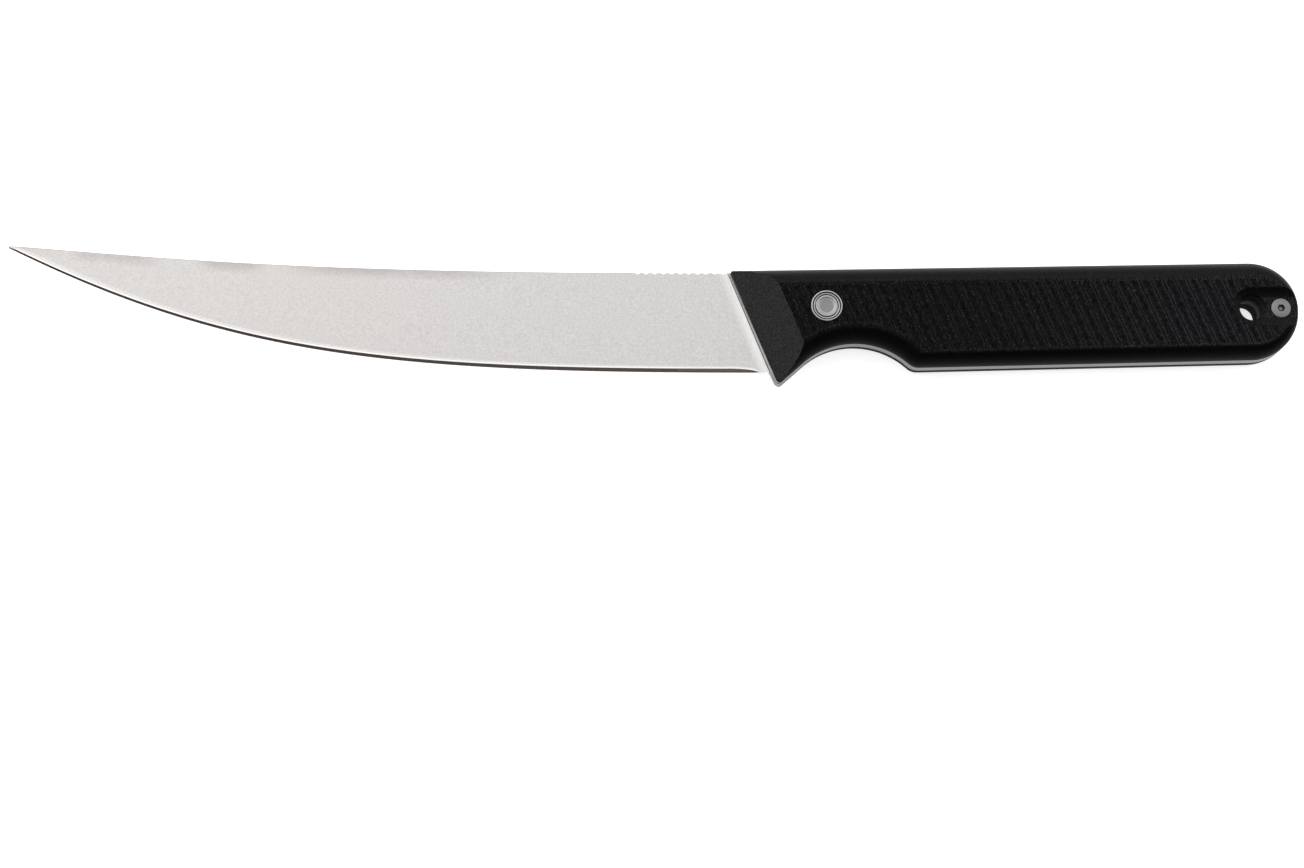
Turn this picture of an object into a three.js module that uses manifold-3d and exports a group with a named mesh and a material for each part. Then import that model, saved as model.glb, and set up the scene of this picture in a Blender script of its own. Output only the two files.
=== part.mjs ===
// A fillet knife: a full-tang blade, two ribbed scales and the fasteners that clamp them.
// The knife lies on its right side: +X runs from tip to butt, +Y from edge to spine and +Z out
// of the left side. While it is built, the tang's middle plane is Z = 0 and the corner where
// spine and handle meet is X = Y = 0. Lengths are millimetres, angles are degrees.
import * as THREE from 'three';
import { mergeVertices } from 'three/addons/utils/BufferGeometryUtils.js';
import Module from 'manifold-3d';

// Blade outline
const BLADE_LENGTH = 156.9; // front of the scales to the tip, along the spine
const HEEL_HEIGHT = 22.15; // spine to edge at the handle
const TIP_RISE = 6.4; // tip above the straight part of the spine
const TIP_HEIGHT = 0.5; // the point is left a little blunt
const SPINE_LEAD = 93.8; // how far the straight spine pulls on its curve
const SPINE_TIP_PULL = 33.9; // how far the tip pulls on the spine's curve
const SPINE_TIP_ANGLE = 4.6; // rise of the spine at the tip
const EDGE_LEAD = 79.6; // how far the straight edge pulls on its curve
const EDGE_TIP_PULL = 56.5; // how far the tip pulls on the edge's curve
const EDGE_TIP_ANGLE = 26.7; // rise of the edge at the tip

// Blade section
const STOCK = 2.6; // thickness of the tang and of the spine at the handle
const TIP_STOCK = 0.7; // thickness of the spine near the tip
const SHOULDER = 0.45; // thickness left above the sharpened bevel
const EDGE_LAND = 0.04; // width of the edge itself
const BEVEL_AT_HEEL = 0.95; // height of the sharpened bevel
const BEVEL_AT_TIP = 0.35;
const BEVEL_FADE = 5.5; // length over which the bevel runs out at the heel
const BLUNT_HEEL = 3.2; // unsharpened edge in front of the handle
const RICASSO = 0.45; // strip of full thickness in front of the scales
const PLUNGE = 2.4; // length of the hollow that leads from the ricasso into the grind
const BLADE_STATIONS = 26; // sections along the blade

// Thumb notches on the spine
const NOTCH_COUNT = 11;
const NOTCH_PITCH = 1.86;
const NOTCH_RADIUS = 0.62;
const NOTCH_DEPTH = 0.3;
const NOTCH_START = 1.5; // first notch, ahead of the scales

// Handle outline
const HANDLE_LENGTH = 123.8; // front corner of the scales to the end of the butt
const GRIP_HEIGHT = 21.85; // top to bottom just behind the finger notch
const RAKE = 21.9; // lean of the handle's front, the ramp and the ribs
const TOP_TILT = 0.9; // climb of the top line towards the butt
const BOTTOM_TILT = 1.31; // climb of the bottom line towards the butt
const FINGER_X = 26.95; // middle of the finger notch
const FINGER_RADIUS = 16.95;
const FINGER_FLARE = 41.5; // slope of the notch's two sides
const GRIP_AT_FINGER = 16.45; // height of the handle over the finger notch
const FRONT_CORNER_RADIUS = 0.3;
const SPUR_RADIUS = 0.9; // tip of the guard in front of the finger
const GRIP_CORNER_RADIUS = 3.5; // corner between finger notch and bottom line
const BUTT_TILT = 2.2; // lean of the butt's end, its foot forward
const BUTT_ROUNDING = 0.495; // radius of the butt's corners, as a share of its height

// Scales
const SCALE_THICKNESS = 5;
const ROUND_WIDTH = 2.5; // roundover of the bottom and butt, seen from the side of the knife
const TOP_ROUND_WIDTH = 4.2; // the same along the top, under the palm
const FINGER_ROUND_WIDTH = 3.4; // the same in the finger notch
const ROUND_DEPTH = 4.2; // depth of the roundover, through the scale
const NOSE_THICKNESS = 1.6; // scale thickness at its front edge
const RAMP_RUN = 8.1; // length of the ramp behind the front edge
const RIB_PITCH = 1.22;
const RIB_START = 0.85; // first groove, behind the ramp
const DEEP_GROOVE_WIDTH = 0.76;
const DEEP_GROOVE_DEPTH = 0.3;
const FINE_GROOVE_WIDTH = 0.5;
const FINE_GROOVE_DEPTH = 0.18;

// Trough at the butt and the lanyard hole in it
const LANYARD_SETBACK = 10.6; // middle of the hole, ahead of the butt's end
const LANYARD_DIAMETER = 5.4;
const LANYARD_CHAMFER = 0.3;
const TROUGH_DEPTH = 1.15;
const TROUGH_COVE = 2.9; // radius of the trough's hollow sides
const TROUGH_FLOOR = 4.2; // width of the flat floor

// Front fastener: a barrel nut from the left, a bolt from the right, each in a cup washer
const FRONT_PIN_X = 20.55;
const FRONT_PIN_DROP = 9.1; // below the top line
const COLLAR_DIAMETER = 6.8;
const COLLAR_HEIGHT = 2;
const COLLAR_SEAT = 0.7; // thickness of the ring that the head sits on
const COLLAR_RIM = 0.36; // width of the raised outer rim
const COLLAR_STEP = 0.26; // drop from the rim to the inner step
const HEAD_DIAMETER = 4.8;
const HEAD_HEIGHT = 1.2;
const DISH_DIAMETER = 4.1;
const DISH_DEPTH = 0.28;
const DISH_FLOOR = 0.55; // flat middle of the dish, as a share of its width
const DISH_BEND = 0.8; // where the dish turns up to its rim, as a share of its width
const DISH_BEND_DEPTH = 0.75; // how deep the dish is there, as a share of its depth
const BARREL_DIAMETER = 4;
const BOLT_DIAMETER = 2.4;
const BOLT_REACH = 4.4; // length of bolt inside the barrel
const BARREL_END_GAP = 0.3; // end of the barrel to the bolt's head
const BOLT_SOCKET = 2; // across the flats
const BOLT_SOCKET_DEPTH = 0.8;

// Rear fastener: a threaded sleeve through the tang and a flat screw from each side
const REAR_SCREW_SETBACK = 4.3; // ahead of the butt's end
const REAR_HEAD_DIAMETER = 4.4;
const REAR_HEAD_HEIGHT = 1;
const REAR_HEAD_CHAMFER = 0.15;
const REAR_SHANK_DIAMETER = 1.6;
const REAR_SHANK_LENGTH = 2.1;
const REAR_SOCKET = 1.5; // across the flats
const REAR_SOCKET_DEPTH = 0.6;
const SLEEVE_DIAMETER = 3.2;

// Fits
const PIN_CLEARANCE = 0.15; // round each pin, head and collar
const HEAD_RECESS = 0.05; // heads and collars below the surface they sit in

// Facets
const ROUND_STEPS = 4; // steps in the scales' roundover
const TURNED_SIDES = 24;
const COVE_STEPS = 5;
const NOTCH_SIDES = 16;

const HALF_STOCK = STOCK / 2;
const REACH = 2 * (BLADE_LENGTH + HANDLE_LENGTH); // longer than anything that gets cut
const DEGREE = Math.PI / 180;

const wasm = await Module();
wasm.setup();

// Turns a closed three.js geometry into a solid that can be joined and cut.
function solid(geometry) {
  const bare = new THREE.BufferGeometry();
  bare.setAttribute('position', geometry.getAttribute('position').clone());
  bare.setIndex(geometry.getIndex());
  const merged = mergeVertices(bare, 1e-4);
  const corners = merged.getIndex().array;
  const triangles = [];
  for (let i = 0; i < corners.length; i += 3) {
    const [a, b, c] = [corners[i], corners[i + 1], corners[i + 2]];
    if (a !== b && b !== c && c !== a) triangles.push(a, b, c);
  }
  const vertProperties = Float32Array.from(merged.getAttribute('position').array);
  const triVerts = Uint32Array.from(triangles);
  return new wasm.Manifold(new wasm.Mesh({ numProp: 3, vertProperties, triVerts }));
}

// Turns a solid back into a geometry.
function surface(body) {
  const { vertProperties, triVerts } = body.getMesh();
  const geometry = new THREE.BufferGeometry();
  geometry.setAttribute('position', new THREE.BufferAttribute(vertProperties, 3));
  geometry.setIndex(new THREE.BufferAttribute(triVerts, 1));
  geometry.computeVertexNormals();
  return geometry;
}

// Mirrors a geometry through the tang's middle plane and keeps its faces pointing out.
function mirrored(geometry) {
  const copy = geometry.clone().scale(1, 1, -1);
  const corners = copy.getIndex().array;
  for (let i = 0; i < corners.length; i += 3) {
    [corners[i + 1], corners[i + 2]] = [corners[i + 2], corners[i + 1]];
  }
  copy.computeVertexNormals();
  return copy;
}

// Joins rings of Vector3 into a closed skin. A cap lists the triangles over the end ring.
function loft(rings, firstCap, lastCap) {
  const count = rings[0].length;
  const points = rings.flat();
  const triangles = [];
  for (let ring = 0; ring < rings.length - 1; ring++) {
    for (let i = 0; i < count; i++) {
      const next = (i + 1) % count;
      const low = ring * count;
      const high = low + count;
      triangles.push(low + i, low + next, high + next, low + i, high + next, high + i);
    }
  }
  const top = (rings.length - 1) * count;
  for (const [a, b, c] of firstCap) triangles.push(a, c, b);
  for (const [a, b, c] of lastCap) triangles.push(top + a, top + b, top + c);
  const geometry = new THREE.BufferGeometry().setFromPoints(points);
  geometry.setIndex(triangles);
  return geometry;
}

// A solid turned about the Z axis from a profile of [radius, z] points, lowest first.
function turned(profile, sides = TURNED_SIDES) {
  const points = profile.map(([radius, z]) => new THREE.Vector2(radius, z));
  return solid(new THREE.LatheGeometry(points, sides).rotateX(Math.PI / 2));
}

// A plain round bar about the Z axis, and a hexagonal one.
function bar(diameter, low, high, sides = TURNED_SIDES) {
  const radius = diameter / 2;
  return turned([[0, low], [radius, low], [radius, high], [0, high]], sides);
}

function hexBar(acrossFlats, low, high) {
  return bar(acrossFlats / Math.cos(30 * DEGREE), low, high, 6);
}

// A bar at a place on the handle.
function barAt(place, diameter, low, high, sides) {
  return bar(diameter, low, high, sides).translate([place.x, place.y, 0]);
}

// Lines of the handle
const topLine = (x) => x * Math.tan(TOP_TILT * DEGREE);
const fingerBottom = topLine(FINGER_X) - GRIP_AT_FINGER;
const notchPeak = fingerBottom + FINGER_RADIUS * (1 / Math.cos(FINGER_FLARE * DEGREE) - 1);
const flareSlope = Math.tan(FINGER_FLARE * DEGREE);
const rakeSlope = Math.tan(RAKE * DEGREE);
const bottomSlope = Math.tan(BOTTOM_TILT * DEGREE);

// The bottom line leaves the rear side of the finger notch where the grip has its full height.
const gripX = FINGER_X + (notchPeak - topLine(FINGER_X) + GRIP_HEIGHT) / flareSlope;
const gripBottom = notchPeak - flareSlope * (gripX - FINGER_X);
const bottomLine = (x) => gripBottom + bottomSlope * (x - gripX);

// The spur's corner is where the raked front meets the front side of the finger notch. The front
// can stand ahead of the scales' own front by a lead.
function spurCorner(lead) {
  const y = (notchPeak - flareSlope * (FINGER_X + lead)) / (1 + rakeSlope * flareSlope);
  return { x: -lead - rakeSlope * y, y };
}
const buttHeight = topLine(HANDLE_LENGTH) - bottomLine(HANDLE_LENGTH);
const buttRadius = buttHeight * BUTT_ROUNDING;
const buttLean = Math.tan(BUTT_TILT * DEGREE) * buttHeight / 2;
const buttFoot = { x: HANDLE_LENGTH - buttLean, y: bottomLine(HANDLE_LENGTH - buttLean) };
const buttHead = { x: HANDLE_LENGTH + buttLean, y: topLine(HANDLE_LENGTH + buttLean) };

// Corners of the handle's outline, counterclockwise, with the radius and facets of each. Each
// corner also names the roundover's width on the line that follows it.
function handleCorners(lead) {
  return [
    { x: -lead, y: topLine(-lead), radius: FRONT_CORNER_RADIUS, steps: 4, round: ROUND_WIDTH },
    { ...spurCorner(lead), radius: SPUR_RADIUS, steps: 6, round: FINGER_ROUND_WIDTH },
    { x: FINGER_X, y: notchPeak, radius: FINGER_RADIUS, steps: 16, round: FINGER_ROUND_WIDTH },
    { x: gripX, y: gripBottom, radius: GRIP_CORNER_RADIUS, steps: 5, round: ROUND_WIDTH },
    { ...buttFoot, radius: buttRadius, steps: 14, round: ROUND_WIDTH },
    { ...buttHead, radius: buttRadius, steps: 14, round: TOP_ROUND_WIDTH },
  ];
}
const SHARPEST = 0.02; // smallest radius left on a corner that is set in

// Where the lines through p along u and through q along v cross.
function crossing(p, u, q, v) {
  const along = q.clone().sub(p).cross(v) / u.cross(v);
  return p.clone().addScaledVector(u, along);
}

// The handle's outline. Each line is set in by a share of its own roundover's width.
function handleOutline(lead, share) {
  const bends = handleCorners(lead);
  const count = bends.length;
  const corners = bends.map(({ x, y }) => new THREE.Vector2(x, y));
  const along = corners.map((p, i) => corners[(i + 1) % count].clone().sub(p).normalize());
  const insets = bends.map(({ round }) => round * share);
  const starts = corners.map((p, i) => p.clone().add(new THREE.Vector2(-along[i].y, along[i].x)
    .multiplyScalar(insets[i])));
  const outline = [];
  bends.forEach(({ radius, steps }, i) => {
    const before = (i + count - 1) % count;
    const [arrive, leave] = [along[before], along[i]];
    const corner = crossing(starts[before], arrive, starts[i], leave);
    const turn = Math.atan2(arrive.cross(leave), arrive.dot(leave));
    const side = Math.sign(turn);
    const bend = Math.max(SHARPEST, radius - side * Math.max(insets[before], insets[i]));
    const tangent = bend * Math.tan(Math.abs(turn) / 2);
    const start = corner.clone().addScaledVector(arrive, -tangent);
    const inward = new THREE.Vector2(-arrive.y, arrive.x).multiplyScalar(side * bend);
    const centre = start.clone().add(inward);
    for (let step = 0; step <= steps; step++) {
      outline.push(start.clone().rotateAround(centre, turn * step / steps));
    }
  });
  return outline;
}

// A slab of the handle's outline: layers lists [z, share of the roundover] from low to high.
function handleSlab(lead, layers) {
  const outlines = layers.map(([, share]) => handleOutline(lead, share));
  const rings = outlines.map((outline, i) => outline.map((p) => new THREE.Vector3(p.x, p.y, layers[i][0])));
  const cap = (outline) => THREE.ShapeUtils.triangulateShape(outline, []);
  return solid(loft(rings, cap(outlines[0]), cap(outlines[outlines.length - 1])));
}

// Places of the fasteners and of the lanyard hole
const frontPin = new THREE.Vector2(FRONT_PIN_X, topLine(FRONT_PIN_X) - FRONT_PIN_DROP);
const lanyardX = HANDLE_LENGTH - LANYARD_SETBACK;
const troughY = (topLine(lanyardX) + bottomLine(lanyardX)) / 2;
const lanyard = new THREE.Vector2(lanyardX, troughY);
const rearScrew = new THREE.Vector2(HANDLE_LENGTH - REAR_SCREW_SETBACK, troughY);

// Heights over the tang's middle plane
const faceZ = HALF_STOCK + SCALE_THICKNESS; // outer face of a scale
const floorZ = faceZ - TROUGH_DEPTH; // floor of the trough
const collarTop = faceZ - HEAD_RECESS;
const collarLow = collarTop - COLLAR_HEIGHT;
const headSeat = collarLow + COLLAR_SEAT;
const rearHeadTop = floorZ - HEAD_RECESS;
const rearHeadSeat = rearHeadTop - REAR_HEAD_HEIGHT;

// Blade: one section every so often, each from a point on the spine to a point on the edge.
const spine = new THREE.CubicBezierCurve(
  new THREE.Vector2(0, 0),
  new THREE.Vector2(-SPINE_LEAD, 0),
  new THREE.Vector2(
    SPINE_TIP_PULL * Math.cos(SPINE_TIP_ANGLE * DEGREE) - BLADE_LENGTH,
    TIP_RISE - SPINE_TIP_PULL * Math.sin(SPINE_TIP_ANGLE * DEGREE),
  ),
  new THREE.Vector2(-BLADE_LENGTH, TIP_RISE),
);
const heelX = HEEL_HEIGHT * rakeSlope;
const edgeTipY = TIP_RISE - TIP_HEIGHT;
const edge = new THREE.CubicBezierCurve(
  new THREE.Vector2(heelX, -HEEL_HEIGHT),
  new THREE.Vector2(heelX - EDGE_LEAD, -HEEL_HEIGHT),
  new THREE.Vector2(
    EDGE_TIP_PULL * Math.cos(EDGE_TIP_ANGLE * DEGREE) - BLADE_LENGTH,
    edgeTipY - EDGE_TIP_PULL * Math.sin(EDGE_TIP_ANGLE * DEGREE),
  ),
  new THREE.Vector2(-BLADE_LENGTH, edgeTipY),
);

// Rises from 0 to 1 like a quarter circle, steep at first.
function quarterRise(share) {
  const left = 1 - THREE.MathUtils.clamp(share, 0, 1);
  return Math.sqrt(1 - left * left);
}

// Six points of the blade's section at a distance ahead of the handle, negative inside the tang.
const { lerp } = THREE.MathUtils;
const LEAST_BEVEL = 0.05; // share of the bevel's height kept where the edge is blunt
function bladeSection(distance) {
  const share = THREE.MathUtils.clamp(distance / BLADE_LENGTH, 0, 1);
  const inside = new THREE.Vector2(Math.max(0, -distance), 0);
  const top = spine.getPointAt(share).add(inside);
  const low = edge.getPointAt(share).add(inside);
  const height = top.distanceTo(low);
  const closing = Math.min(1, height / (2 * BEVEL_AT_HEEL)); // thins the last of the tip
  const ground = quarterRise((distance - RICASSO) / PLUNGE);
  const sharp = quarterRise((distance - BLUNT_HEEL) / BEVEL_FADE);
  const spineHalf = closing * lerp(STOCK, TIP_STOCK, share) / 2;
  const shoulderHalf = closing * lerp(STOCK, SHOULDER, ground) / 2;
  const edgeHalf = lerp(shoulderHalf, EDGE_LAND / 2 * closing, sharp);
  const fullBevel = closing * lerp(BEVEL_AT_HEEL, BEVEL_AT_TIP, share);
  const bevel = fullBevel * Math.max(LEAST_BEVEL, sharp);
  const shoulder = low.clone().lerp(top, bevel / height);
  const half = [[top, spineHalf], [shoulder, shoulderHalf], [low, edgeHalf]];
  const right = half.map(([p, z]) => new THREE.Vector3(p.x, p.y, -z));
  const left = half.map(([p, z]) => new THREE.Vector3(p.x, p.y, z)).reverse();
  return [...right, ...left];
}

const BLADE_ROOT = 1; // length of blade section that is buried in the tang
const PLUNGE_SHARES = [0, 0.03, 0.12, 0.3, 0.6, 1];

function bladeSolid() {
  const distances = [-BLADE_ROOT, 0];
  for (const share of PLUNGE_SHARES) {
    distances.push(RICASSO + PLUNGE * share, BLUNT_HEEL + BEVEL_FADE * share);
  }
  const first = Math.max(...distances);
  for (let i = 1; i <= BLADE_STATIONS; i++) {
    distances.push(lerp(first, BLADE_LENGTH, i / BLADE_STATIONS));
  }
  distances.sort((a, b) => a - b);
  const fan = [[0, 1, 2], [0, 2, 3], [0, 3, 5], [3, 4, 5]];
  return solid(loft(distances.map(bladeSection), fan, fan));
}

// Cutters for the row of thumb notches, which follow the spine.
function notches() {
  let row = null;
  for (let i = 0; i < NOTCH_COUNT; i++) {
    const place = spine.getPointAt((NOTCH_START + i * NOTCH_PITCH) / BLADE_LENGTH);
    place.y += NOTCH_RADIUS - NOTCH_DEPTH;
    const notch = barAt(place, 2 * NOTCH_RADIUS, -STOCK, STOCK, NOTCH_SIDES);
    row = row ? row.add(notch) : notch;
  }
  return row;
}

function blade() {
  const tang = handleSlab(RICASSO, [[-HALF_STOCK, 0], [HALF_STOCK, 0]]);
  const pinHole = BARREL_DIAMETER + 2 * PIN_CLEARANCE;
  const sleeveHole = SLEEVE_DIAMETER + 2 * PIN_CLEARANCE;
  return tang
    .add(bladeSolid())
    .subtract(notches())
    .subtract(barAt(frontPin, pinHole, -STOCK, STOCK))
    .subtract(barAt(rearScrew, sleeveHole, -STOCK, STOCK))
    .subtract(barAt(lanyard, LANYARD_DIAMETER, -STOCK, STOCK));
}

// A long prism along the raked front. Its profile is [distance behind the front, z].
function rakedPrism(profile) {
  const shape = new THREE.Shape(profile.map(([d, z]) => new THREE.Vector2(d, z)));
  const geometry = new THREE.ExtrudeGeometry(shape, { depth: REACH, bevelEnabled: false });
  const behind = new THREE.Vector3(Math.cos(RAKE * DEGREE), Math.sin(RAKE * DEGREE), 0);
  const up = new THREE.Vector3(0, 0, 1);
  const down = new THREE.Vector3().crossVectors(behind, up);
  const place = new THREE.Matrix4().makeBasis(behind, up, down);
  place.setPosition(down.clone().multiplyScalar(-REACH / 2));
  return solid(geometry.applyMatrix4(place));
}

// Cutter over the ramp that thins the scale to its nose.
function rampCutter() {
  const slope = (SCALE_THICKNESS - NOSE_THICKNESS) / RAMP_RUN;
  const noseZ = HALF_STOCK + NOSE_THICKNESS;
  const onRamp = (d) => [d, noseZ + slope * d];
  const ahead = onRamp(-RAMP_RUN);
  const behind = onRamp(2 * RAMP_RUN);
  return rakedPrism([ahead, behind, [ahead[0], behind[1]]]);
}

// Cutters for the ribs: deep and fine grooves by turns, all parallel to the front.
function grooves() {
  const first = RAMP_RUN + RIB_START;
  const last = HANDLE_LENGTH * Math.cos(RAKE * DEGREE);
  const over = faceZ + SCALE_THICKNESS;
  let comb = null;
  for (let i = 0; first + i * RIB_PITCH < last; i++) {
    const d = first + i * RIB_PITCH;
    const deep = i % 2 === 0;
    const half = (deep ? DEEP_GROOVE_WIDTH : FINE_GROOVE_WIDTH) / 2;
    const valley = faceZ - (deep ? DEEP_GROOVE_DEPTH : FINE_GROOVE_DEPTH);
    const profile = [[d, valley], [d + half, faceZ], [d + half, over], [d - half, over], [d - half, faceZ]];
    const groove = rakedPrism(profile);
    comb = comb ? comb.add(groove) : groove;
  }
  return comb;
}

// Cutter for the trough: round about the lanyard hole, then straight out through the butt.
function troughCutter() {
  const floorHalf = TROUGH_FLOOR / 2;
  const over = TROUGH_DEPTH + SCALE_THICKNESS;
  const sweep = Math.acos(1 - TROUGH_DEPTH / TROUGH_COVE);
  const side = [];
  for (let i = 0; i <= COVE_STEPS; i++) {
    const angle = sweep * i / COVE_STEPS;
    const out = floorHalf + TROUGH_COVE * Math.sin(angle);
    side.push([out, TROUGH_COVE * (1 - Math.cos(angle))]);
  }
  const mouth = side[COVE_STEPS][0];
  side.push([mouth, over]);
  const end = turned([[0, 0], ...side, [0, over]]);
  const outline = [...side, ...side.map(([out, z]) => [-out, z]).reverse()];
  const shape = new THREE.Shape(outline.map(([out, z]) => new THREE.Vector2(out, z)));
  const straight = new THREE.ExtrudeGeometry(shape, { depth: HANDLE_LENGTH, bevelEnabled: false });
  straight.rotateX(Math.PI / 2).rotateZ(Math.PI / 2);
  return end.add(solid(straight)).translate([lanyard.x, lanyard.y, floorZ]);
}

// Cone that breaks the lanyard hole's edge at the trough floor.
function lanyardChamfer() {
  const radius = LANYARD_DIAMETER / 2;
  const low = floorZ - LANYARD_CHAMFER;
  const profile = [[0, low], [radius, low], [radius + 2 * LANYARD_CHAMFER, floorZ + LANYARD_CHAMFER]];
  return turned([...profile, [0, floorZ + LANYARD_CHAMFER]]).translate([lanyard.x, lanyard.y, 0]);
}

// The left scale, from the tang's face outwards.
function leftScale() {
  const layers = [[HALF_STOCK, 0]];
  for (let step = 0; step <= ROUND_STEPS; step++) {
    const angle = 90 * DEGREE * step / ROUND_STEPS;
    layers.push([faceZ - ROUND_DEPTH * (1 - Math.sin(angle)), 1 - Math.cos(angle)]);
  }
  const over = faceZ + SCALE_THICKNESS;
  const wide = 2 * PIN_CLEARANCE;
  return handleSlab(0, layers)
    .subtract(rampCutter())
    .subtract(grooves())
    .subtract(troughCutter())
    .subtract(barAt(frontPin, COLLAR_DIAMETER + wide, collarLow, over))
    .subtract(barAt(frontPin, BARREL_DIAMETER + wide, 0, over))
    .subtract(barAt(rearScrew, REAR_HEAD_DIAMETER + wide, rearHeadSeat, over))
    .subtract(barAt(rearScrew, SLEEVE_DIAMETER + wide, 0, over))
    .subtract(barAt(lanyard, LANYARD_DIAMETER, 0, over))
    .subtract(lanyardChamfer());
}

// Cup washer in the left scale: a raised rim, a step and the seat that the head sits on.
function frontCollar() {
  const outer = COLLAR_DIAMETER / 2;
  const cup = HEAD_DIAMETER / 2 + PIN_CLEARANCE;
  const hole = BARREL_DIAMETER / 2 + PIN_CLEARANCE;
  const breakEdge = COLLAR_RIM / 4;
  const step = collarTop - COLLAR_STEP;
  return turned([
    [hole, collarLow],
    [outer, collarLow],
    [outer, collarTop - breakEdge],
    [outer - breakEdge, collarTop],
    [outer - COLLAR_RIM, collarTop],
    [outer - COLLAR_RIM - COLLAR_STEP / 2, step],
    [cup, step],
    [cup, headSeat],
    [hole, headSeat],
    [hole, collarLow],
  ]);
}

// Barrel nut: dished head on the left, barrel through both scales, thread open to the right.
function barrelNut() {
  const head = HEAD_DIAMETER / 2;
  const dish = DISH_DIAMETER / 2;
  const top = headSeat + HEAD_HEIGHT;
  const barrel = BARREL_DIAMETER / 2;
  const thread = BOLT_DIAMETER / 2 + PIN_CLEARANCE;
  const end = BARREL_END_GAP - headSeat;
  const rim = (head - dish) / 2;
  return turned([
    [thread, end],
    [barrel, end],
    [barrel, headSeat],
    [head, headSeat],
    [head, top - rim],
    [head - rim / 2, top],
    [dish, top],
    [dish * DISH_BEND, top - DISH_DEPTH * DISH_BEND_DEPTH],
    [dish * DISH_FLOOR, top - DISH_DEPTH],
    [0, top - DISH_DEPTH],
    [0, end + BOLT_REACH],
    [thread, end + BOLT_REACH],
    [thread, end],
  ]);
}

// Bolt from the right, drawn here as if it came from the left.
function frontBolt() {
  const head = HEAD_DIAMETER / 2;
  const top = headSeat + HEAD_HEIGHT;
  const shank = BOLT_DIAMETER / 2;
  const end = headSeat - BOLT_REACH;
  const chamfer = BOLT_SOCKET_DEPTH / 4;
  const body = turned([
    [0, end],
    [shank, end],
    [shank, headSeat],
    [head, headSeat],
    [head, top - chamfer],
    [head - chamfer, top],
    [0, top],
  ]);
  return body.subtract(hexBar(BOLT_SOCKET, top - BOLT_SOCKET_DEPTH, faceZ + SCALE_THICKNESS));
}

function rearScrewSolid() {
  const head = REAR_HEAD_DIAMETER / 2;
  const shank = REAR_SHANK_DIAMETER / 2;
  const end = rearHeadSeat - REAR_SHANK_LENGTH;
  const body = turned([
    [0, end],
    [shank, end],
    [shank, rearHeadSeat],
    [head, rearHeadSeat],
    [head, rearHeadTop - REAR_HEAD_CHAMFER],
    [head - REAR_HEAD_CHAMFER, rearHeadTop],
    [0, rearHeadTop],
  ]);
  return body.subtract(hexBar(REAR_SOCKET, rearHeadTop - REAR_SOCKET_DEPTH, faceZ));
}

function rearStandoff() {
  const outer = SLEEVE_DIAMETER / 2;
  const thread = REAR_SHANK_DIAMETER / 2 + PIN_CLEARANCE;
  const end = rearHeadSeat; // both screw heads bear on the sleeve
  return turned([[thread, -end], [outer, -end], [outer, end], [thread, end], [thread, -end]]);
}

// Materials
const steel = new THREE.MeshStandardMaterial({ color: '#c9c6c2', roughness: 0.42, metalness: 1 });
const laminate = new THREE.MeshStandardMaterial({ color: '#131313', roughness: 0.6, metalness: 0 });
const collarSteel = new THREE.MeshStandardMaterial({ color: '#a9a9ab', roughness: 0.35, metalness: 1 });
const headSteel = new THREE.MeshStandardMaterial({ color: '#9a9b9e', roughness: 0.45, metalness: 1 });

const knife = new THREE.Group();

function place(name, geometry, material, spot) {
  const piece = new THREE.Mesh(geometry, material);
  piece.name = name;
  if (spot) piece.position.set(spot.x, spot.y, 0);
  knife.add(piece);
}

const scale = surface(leftScale());
const collar = surface(frontCollar());
const screw = surface(rearScrewSolid());

place('blade', surface(blade()), steel);
place('left_scale', scale, laminate);
place('right_scale', mirrored(scale), laminate);
place('front_collar_left', collar, collarSteel, frontPin);
place('front_collar_right', mirrored(collar), collarSteel, frontPin);
place('front_barrel_nut', surface(barrelNut()), headSteel, frontPin);
place('front_bolt', mirrored(surface(frontBolt())), headSteel, frontPin);
place('rear_standoff', surface(rearStandoff()), headSteel, rearScrew);
place('rear_screw_left', screw, headSteel, rearScrew);
place('rear_screw_right', mirrored(screw), headSteel, rearScrew);

// The knife rests on its right scale, centred over the origin.
const bounds = new THREE.Box3().setFromObject(knife);
const middle = bounds.getCenter(new THREE.Vector3());
knife.position.set(-middle.x, -middle.y, -bounds.min.z);

export default knife;
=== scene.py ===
# %% [markdown]
# A fillet knife lies on its right side, on a pale floor. It has a long upswept blade with a
# stonewashed finish, a full tang that shows as a thin steel band round the handle, two ribbed
# black scales, a round fastener at the front and a small screw at the butt.
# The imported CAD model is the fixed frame. Each CAD node gets a finer piece that takes its place:
# the same shape, with smooth curves, small broken edges and the finish of the real surface.

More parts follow.
